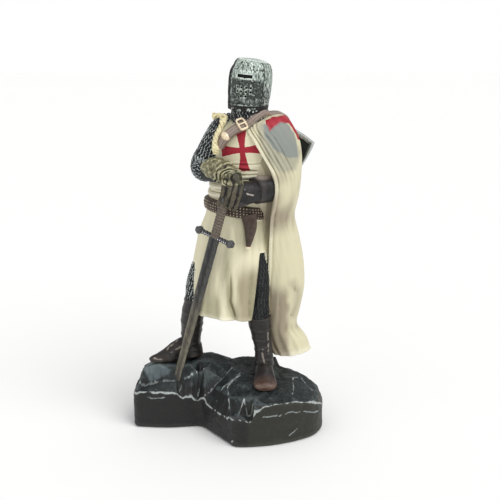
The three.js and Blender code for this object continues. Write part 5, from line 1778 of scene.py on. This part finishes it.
# Painted areas, painted shade and painted highlight streaks of the pieces, by places along and up their
# fronts.
PALE_FACE = [[-47.3, 33.6], [-37.1, 35.6], [-30, 31.6], [-42.3, 25.7]]
EMBLEM_AREA = [
    [19.5, 169], [24.5, 170.4], [31, 170.4], [34.6, 166], [39, 157.6], [36.2, 158.4], [33.6, 164.2],
    [31.2, 167.2], [27.4, 166.8], [24, 164.6], [21.6, 163.4],
]
# The grey patch of painted shade over the emblem's middle.
FADED_AREA = [
    [18.4, 167.6], [19, 161.6], [23, 156], [27.4, 153], [31.4, 150.4], [36.4, 150], [36, 156], [34, 162.4],
    [31, 166.8], [27.6, 168], [24.4, 166.4], [22, 164], [20.4, 167],
]
SHADED_AREA = [[15, 168], [17.6, 157], [21, 149], [27, 143], [35, 144], [38, 152], [26, 168]]
# The line of the skirt's valley, painted in olive shade.
SKIRT_VALLEY = [[3, 116], [1, 100], [0.2, 88], [1.6, 74], [4.6, 65]]
RIGHT_BOOT_STREAKS = [[[-33.6, 43], [-27.8, 47.6]], [[-31, 42], [-26, 44.6]], [[-40.2, 38.8], [-36, 38.8]]]
LEFT_BOOT_STREAKS = [
    [[18.6, 46.6], [19, 42], [19.8, 39.6]], [[15.4, 30.8], [21.4, 30.8]], [[21.6, 55], [21.8, 44]],
]
LEFT_GLOVE_STREAKS = [[[8.3, 137], [11.8, 135.6]], [[10.5, 134.5], [13.5, 133.3]]]


def on_front(points, size, seeds):
    """Points' places along and up the front, wandering a little so that painted edges aren't straight."""
    return points[:, [0, 2]] + 0.3 * np.stack([grain(points, size, k, 2) for k in seeds], 1)


def streaked(thing, runs):
    """Marks painted highlights, light streaks where the light catches the front of a piece."""
    points = places(thing.data)
    flat = on_front(points, 1.8, (91, 93))
    nearest = np.min([away_from_run(flat, run) for run in runs], axis=0)
    facing = smooth(0.4, 0, outward_ways(thing.data)[:, 1])
    broken = smooth(-0.8, 0.4, grain(points, 1.6, 95, 2))
    mark(thing.data, streaks=facing * smooth(0.8, 0.1, nearest) * broken)


def rock_wear(points, ways):
    """The broken grain of the rock, rougher on the walls."""
    wall = smooth(0.75, 0.35, ways[:, 2])
    foot = smooth(1.0, 4.0, points[:, 2])
    lumps = 0.34 * grain(points, 3.4, 41) + 0.1 * grain(points, 0.9, 47, 2)
    chisel = 0.12 * np.abs(grain(points * [1, 1, 2.4], 5.2, 43, 2))
    return foot * (lumps * (1 - 0.35 * wall) - chisel * wall) - 0.1 * foot


def rocks():
    """The rocky base, with its dark walls, its pale face painted as a highlight where the light falls and its
    dry-brushed lines marked for the paint.
    """
    points, faces = rock_base()
    mesh = mesh_from("rocky_base", points, turned_out(points, faces))
    raise_by(mesh, rock_wear)
    mark_relief(mesh, 0.9, 3.2)
    points, ways, outline = places(mesh), outward_ways(mesh), base_outline()
    wall = smooth(0.72, 0.4, ways[:, 2]) * smooth(24.5, 22.5, points[:, 2])
    wander = points + 0.25 * np.stack([grain(points, 1.6, k, 2) for k in (53, 55, 57)], 1)
    squashed = [1, 1, 0.4]
    runs = [(wander * squashed, np.array(ROCKS[name][:9]) * squashed) for name in BRUSHED_EDGES]
    rim = np.column_stack([outline, rock_height(*outline.T)])
    runs.append((wander * squashed, rim[::4] * squashed))
    # A scratch stays off the walls, and a wall's line off the top and the back, by being moved away there.
    runs += [(wander[:, :2] + 50 * wall[:, None], scratch) for scratch in SCRATCHES]
    hidden = (points[:, 1] > 4) | (ways[:, 2] > 0.8)
    runs += [(wander[:, [0, 2]] + 50 * hidden[:, None], line) for line in WALL_LINES]
    nearest = np.min([away_from_run(flat, run) for flat, run in runs], axis=0)
    ragged = smooth(-1.1, -0.1, grain(points, 3.2, 51, 2))
    # The face under the right foot that the light falls on is painted paler.
    pale = (points[:, 1] < 4) * within(wander[:, [0, 2]], PALE_FACE, 0.8)
    mark(
        mesh, wall=wall, olive=wall * smooth(6, 16, points[:, 0]), pale=pale,
        brushed=smooth(0.46, 0.12, nearest) * ragged,
    )
    keep(show("rocky_base", mesh, ROCK))


def leather_grain(points, ways):
    """The fine grain of leather."""
    return 0.07 * grain(points, 1.6, 61, 2)


def mailed_leg(name, stations, boot_top, top, rings_top, finish):
    """A leg between the skirt and the boot, and the mail over it up to a height of its own."""
    start, end = share_at_height(stations, top), share_at_height(stations, boot_top - 1)
    sculpted(name + "_mail_leg", *mail_limb(stations, (1, 0, 0), start, end), UNDER_MAIL)
    start = share_at_height(stations, rings_top)
    rings_over(name + "_leg_mail", limb(stations, (1, 0, 0), 160, 60, start, end), finish)


def paint_skirt(skirt):
    """Marks the painted olive shade in the skirt's valley, beside it, at its hem, under the belt and by its
    slit, and its pinkish side.
    """
    points = places(skirt.data)
    x, y, z = points.T
    front = smooth(0.2, -0.1, outward_ways(skirt.data)[:, 1])
    wander = 1.2 * grain(points * [1, 1, 0.4], 4, 87, 2)
    away = away_from_run(np.stack([x + 0.4 * wander, z], 1), SKIRT_VALLEY)
    valley = smooth(2.6, 0.2, away) * smooth(110, 92, z)
    beside = 0.62 * smooth(5.5, 0.8, away) * smooth(122, 100, z)
    hem = 0.8 * smooth(-2.5, -6, x + wander) * smooth(-17, -14, x) * smooth(94, 72, z)
    under_belt = 0.55 * smooth(1, 5, x + wander) * smooth(98, 108, z)
    slit_edge = 0.8 * smooth(9.2, 12.8, x) * smooth(17, 15, x) * smooth(98, 86, z)
    mark(
        skirt.data, olive=front * np.maximum.reduce([valley, beside, hem, under_belt, slit_edge]),
        pinkish=front * smooth(1.5, 9, x + wander) * smooth(104, 82, z),
    )


def paint_cloak(mantle):
    """Marks the shoulder's emblem, the grey patch of painted shade over its middle, the cloak's shaded part,
    and the painted shade along its lower fold, on its lower front and down its middle.
    """
    points, ways = places(mantle.data), outward_ways(mantle.data)
    x, y, z = points.T
    front = smooth(0.45, 0.2, ways[:, 1])
    flat = on_front(points, 2.0, (81, 83))
    # Painted shade on the lower front beside the leg, along the lower fold and down the middle of the cloak.
    lower = smooth(88, 70, z) * smooth(36.5, 29, x + grain(points, 5, 85, 2))
    fold = 0.5 * smooth(6.5, 0, away_from_run(flat, BROWN_FOLD))
    middle = 0.85 * smooth(152, 138, z) * smooth(100, 120, z) * smooth(0.1, -0.4, ways[:, 1])
    middle = middle * smooth(-1.1, 0.8, grain(points * [1, 1, 0.6], 9, 89, 2))
    mark(
        mantle.data, emblem=front * within(flat, EMBLEM_AREA), faded=front * within(flat, FADED_AREA, 1.2),
        shaded=front * within(flat, SHADED_AREA, 3),
        weathered=front * np.maximum.reduce([lower, fold, middle]),
    )


bent_folds = leather_folds([152, 147, 142.6, 139], 1.4, 0.5)


def sleeve_folds(t, angle, points):
    """The creases of the left sleeve, which is fuller over the forearm."""
    fuller = 0.9 + 0.9 * smooth(134, 138, points[..., 2])
    return bent_folds(t, angle, points) + smooth(0.55, 0.75, t) * fuller


def paint_fingers(glove):
    """Marks the dark fingers of the right gauntlet."""
    x, y, z = places(glove.data).T
    front = smooth(139.8, 138.2, z) * smooth(-20, -21.6, y)
    mark(glove.data, fingers=np.maximum(front, smooth(134.5, 132.5, z)))


def strap_and_buckle(under):
    """The shield's strap over the pieces under it, and its buckle."""
    line = along(GUIGE, np.linspace(0, 1, 260))[:, :3]
    line = laid_over(line, away_from_chest(line), under)
    leather = strap(line, away_from_chest(line), STRAP_WIDTH, BELT_RELIEF)
    sculpted("shield_strap", *leather, STRAP_LEATHER, 0.4, 1.4)
    sculpted("strap_buckle", *buckle(line), GOLD, 0.3, 1.0)


def great_helm():
    """The helm, with highlights painted on its crown, upper face, streaks and edges, its dark openings, and
    shadow painted down its side and under its foot, marked for the paint.
    """
    points, faces, angle, share, cut = helm()
    mesh = mesh_from("great_helm", points, turned_out(points, faces))
    mark_relief(mesh, 0.35, 1.0)
    shell = places(mesh)[: angle.size]
    speck = smooth(-0.7, 0.4, grain(shell, 1.3, 33, 2)).reshape(angle.shape)
    glint = smooth(0.05, 0.5, grain(shell, 0.6, 35, 1)).reshape(angle.shape)
    front = smooth(FACE_PLATE + 2, FACE_PLATE - 2, angle)
    front = front * smooth(PLATE_LEFT - 1, PLATE_LEFT + 1, angle)
    foot = 0.085 + 0.03 * np.sin(np.radians(angle))
    high = smooth(0.36, 0.5, share)
    flecks = front * glint * smooth(foot - 0.025, foot - 0.04, share)
    # Painted highlights: the lit upper face and crown, the plate's edge, the side streaks, the line over the
    # foot and glints.
    bright = np.maximum.reduce([
        front * smooth(0.56, 0.66, share) + 0.4 * (1 - front) * high,
        0.9 * bump(angle - PLATE_LEFT - 2, 1.8) * smooth(0.2, 0.3, share),
        *[bump(angle - streak, 2.6) * high for streak in HELM_STREAKS],
        0.7 * front * speck * bump(share - foot - 0.025, 0.012),
        0.5 * front * speck * bump(share - foot - 0.1, 0.05),
        0.8 * flecks,
    ])
    side_strip = smooth(PLATE_LEFT, PLATE_LEFT - 2.5, angle) * smooth(-92, -80, angle)
    # Painted shadow under the helm's foot and down its shaded side, with dark lines at the plate's edge and
    # between the streaks.
    black = np.maximum.reduce([
        smooth(foot + 0.008, foot - 0.008, share) - flecks,
        side_strip * (0.75 + 0.25 * smooth(0.95, 0.8, share)),
        0.9 * bump(angle - FACE_PLATE + 1.5, 1.7) + 0 * share,
        0.8 * bump(angle - np.mean(HELM_STREAKS), 1.6) + 0 * share,
    ])
    hollow = np.maximum(smooth(0.25, 0.7, cut), 0.92 * black)
    crown = len(mesh.vertices) - angle.size
    bright = np.append(bright.ravel(), np.ones(crown))
    mark(mesh, bright=bright, hollow=np.append(hollow.ravel(), np.zeros(crown)))
    keep(show("great_helm", mesh, HELM_STEEL))


def painted_shield():
    """The shield, with its metal rim, its cream field and its plain cross marked for the paint."""
    points, faces = shield()
    mesh = mesh_from("shield", points, turned_out(points, faces))
    mark_relief(mesh, 0.5, 1.6)
    points = places(mesh) - SHIELD_MIDDLE
    x, z = points @ SHIELD_SIDE, points @ SHIELD_UP
    depth = points @ SHIELD_FACE + SHIELD_CURVE * x**2
    foot = shield_foot(np.clip(np.abs(x) / (SHIELD_WIDTH / 2), 0, 1))
    to_edge = np.minimum(SHIELD_TOP - z, SHIELD_WIDTH / 2 - np.abs(x))
    to_edge = np.minimum(to_edge, (z - foot) * 0.62)
    rim = smooth(SHIELD_RIM + 0.2, SHIELD_RIM - 0.2, to_edge)
    outer = smooth(SHIELD_THICKNESS * 0.5 - 0.2, SHIELD_THICKNESS * 0.5 + 0.2, depth)
    up, across = np.abs(z - 3), np.abs(x)
    arm_up = (across < 1.6 + 1.5 * (up / 10) ** 1.8) & (up < 9.6)
    arm_across = (up < 1.6 + 1.5 * (across / 9) ** 1.8) & (across < 8.6)
    mark(mesh, rim=rim, field=outer * (1 - rim), emblem=outer * (arm_up | arm_across))
    keep(show("shield", mesh, SHIELD_PAINT))


# The casting, piece by piece

rocks()
right_boot = melted(
    "right_boot",
    boot(RIGHT_LEG, RIGHT_BOOT_TOP, RIGHT_FOOT, (0.3, 1, 0), [67, 58.5, 52, 47, 43]),
    BOOT, height=leather_grain,
)
left_boot = melted(
    "left_boot",
    boot(LEFT_LEG, LEFT_BOOT_TOP, LEFT_FOOT, (1, 0, 0), [58, 50.5, 45.5, 41, 37.6]),
    BOOT, height=leather_grain,
)
streaked(right_boot, RIGHT_BOOT_STREAKS)
streaked(left_boot, LEFT_BOOT_STREAKS)
mailed_leg("right", RIGHT_LEG, RIGHT_BOOT_TOP, 96, 91.5, MAIL)
mailed_leg("left", LEFT_LEG, LEFT_BOOT_TOP, 105, 104, DARK_MAIL)

chest = sculpted("surcoat_chest", *surcoat_chest(), SURCOAT, 0.6, 2.4)
skirt = sculpted("surcoat_skirt", *surcoat_skirt(), SKIRT_CLOTH, 0.8, 2.6)
paint_skirt(skirt)
mantle = sculpted("cloak", *cloak(), CLOAK_CLOTH, 0.8, 2.8)
paint_cloak(mantle)

collar = sculpted("mail_collar", *mail_limb(COLLAR, (1, 0, 0), 0.0, 1.0, 120, 50), UNDER_MAIL)
collar_rings = rings_over("collar_mail", limb(COLLAR, (1, 0, 0), 200, 60, 0.2, 0.8))
sculpted("right_sleeve", *mail_limb(RIGHT_ARM, (0, 1, 0), 0.0, 1.0, 100, 90), UNDER_MAIL)
rings_over("sleeve_mail", limb(RIGHT_ARM, (0, 1, 0), 160, 80, 0.05, 0.83))
sculpted(
    "left_sleeve", *skin(limb(LEFT_ARM, (0, 1, 0), sides=110, steps=130, relief=sleeve_folds)), SLEEVE,
    height=leather_grain,
)
glove = melted("right_gauntlet", right_gauntlet(), GLOVE, 0.24, 2, 0.5, 1.5, wrist_creases)
paint_fingers(glove)
left_glove = melted("left_gauntlet", left_gauntlet(), SLEEVE, 0.24, 2, 0.5, 1.5, leather_grain)
streaked(left_glove, LEFT_GLOVE_STREAKS)

sculpted("sword_blade", *sword_blade(), BLADE, 0.5, 1.4)
sculpted("sword_grip", *sword_grip(), GRIP, 0.4, 1.2)
sculpted("sword_guard", *sword_guard(), GUARD_STEEL, 0.4, 1.2)
studs_on("guard_beads", guard_marks(), GUARD_BEAD, BEAD_STEEL)

sculpted("waist_belt", *belt(), BELT_LEATHER, 0.5, 1.8)
sculpted("belt_end", *skin(limb(BELT_END, sides=48, steps=70)), BELT_LEATHER, 0.5, 1.5)
chape = [row[:3] + [row[3] + CHAPE_WALL, row[4] + CHAPE_WALL] for row in BELT_END]
sculpted("belt_chape", *skin(limb(chape, sides=40, steps=30, start=0.84)), GOLD, 0.4, 1.2)
strap_and_buckle([chest, mantle, collar, collar_rings])
sculpted("cloak_cord", *cloak_cord(), CORD_PAINT, 0.4, 1.2)

great_helm()
studs_on("helm_rivets", helm_marks(), RIVET, HELM_STEEL)
studs_on("belt_studs", belt_marks(), STUD, STUD_PAINT)
painted_shield()

for piece in pieces:
    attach(piece, "root")
    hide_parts("knight_statue")


# Camera, light and floor


def sun(name, place, strength, softness):
    """An even light from the way of a place, with soft shadows."""
    light = bpy.data.lights.new(name, "SUN")
    light.energy = strength
    light.angle = math.radians(softness)
    thing = bpy.data.objects.new(name, light)
    thing.location = place
    thing.rotation_euler = (-Vector(place)).to_track_quat("-Z", "Y").to_euler()
    bpy.context.collection.objects.link(thing)


scene = bpy.context.scene
scene.view_settings.view_transform = "Standard"
scene.view_settings.look = "None"
scene.view_settings.exposure = 0
scene.view_settings.gamma = 1

lens = bpy.data.cameras.new("camera")
lens.sensor_width = 36
lens.lens = 63.36
lens.clip_start = 0.01
lens.clip_end = 20
camera = bpy.data.objects.new("camera", lens)
camera.location = (0.012, -0.45, 0.22)
camera.rotation_euler = (math.radians(75), 0, 0)
bpy.context.collection.objects.link(camera)
scene.camera = camera

sun("key_light", (0.5, -0.5, 0.8), 1.8, 45)
sun("fill_light", (-0.7, -0.6, 0.5), 0.45, 60)

# The room is white behind the casting, and lights it less brightly than that.
ROOM_LIGHT = 0.56
world = bpy.data.worlds.new("studio")
world.use_nodes = True
room = world.node_tree
seen = add(room, "ShaderNodeLightPath").outputs["Is Camera Ray"]
backdrop = room.nodes["Background"]
backdrop.inputs["Color"].default_value = (1, 1, 1, 1)
strength = calc(room, "MULTIPLY_ADD", seen, 1 - ROOM_LIGHT, ROOM_LIGHT)
room.links.new(strength, backdrop.inputs["Strength"])
scene.world = world

floor_mesh = bpy.data.meshes.new("floor")
floor_mesh.from_pydata([(-3, -3, 0), (3, -3, 0), (3, 3, 0), (-3, 3, 0)], [], [(0, 1, 2, 3)])
pale = bpy.data.materials.new("pale_floor")
pale.use_nodes = True
set_inputs(pale.node_tree.nodes["Principled BSDF"], {"Base_Color": (0.97, 0.97, 0.965, 1), "Roughness": 0.8})
floor_mesh.materials.append(pale)
floor = bpy.data.objects.new("floor", floor_mesh)
bpy.context.collection.objects.link(floor)
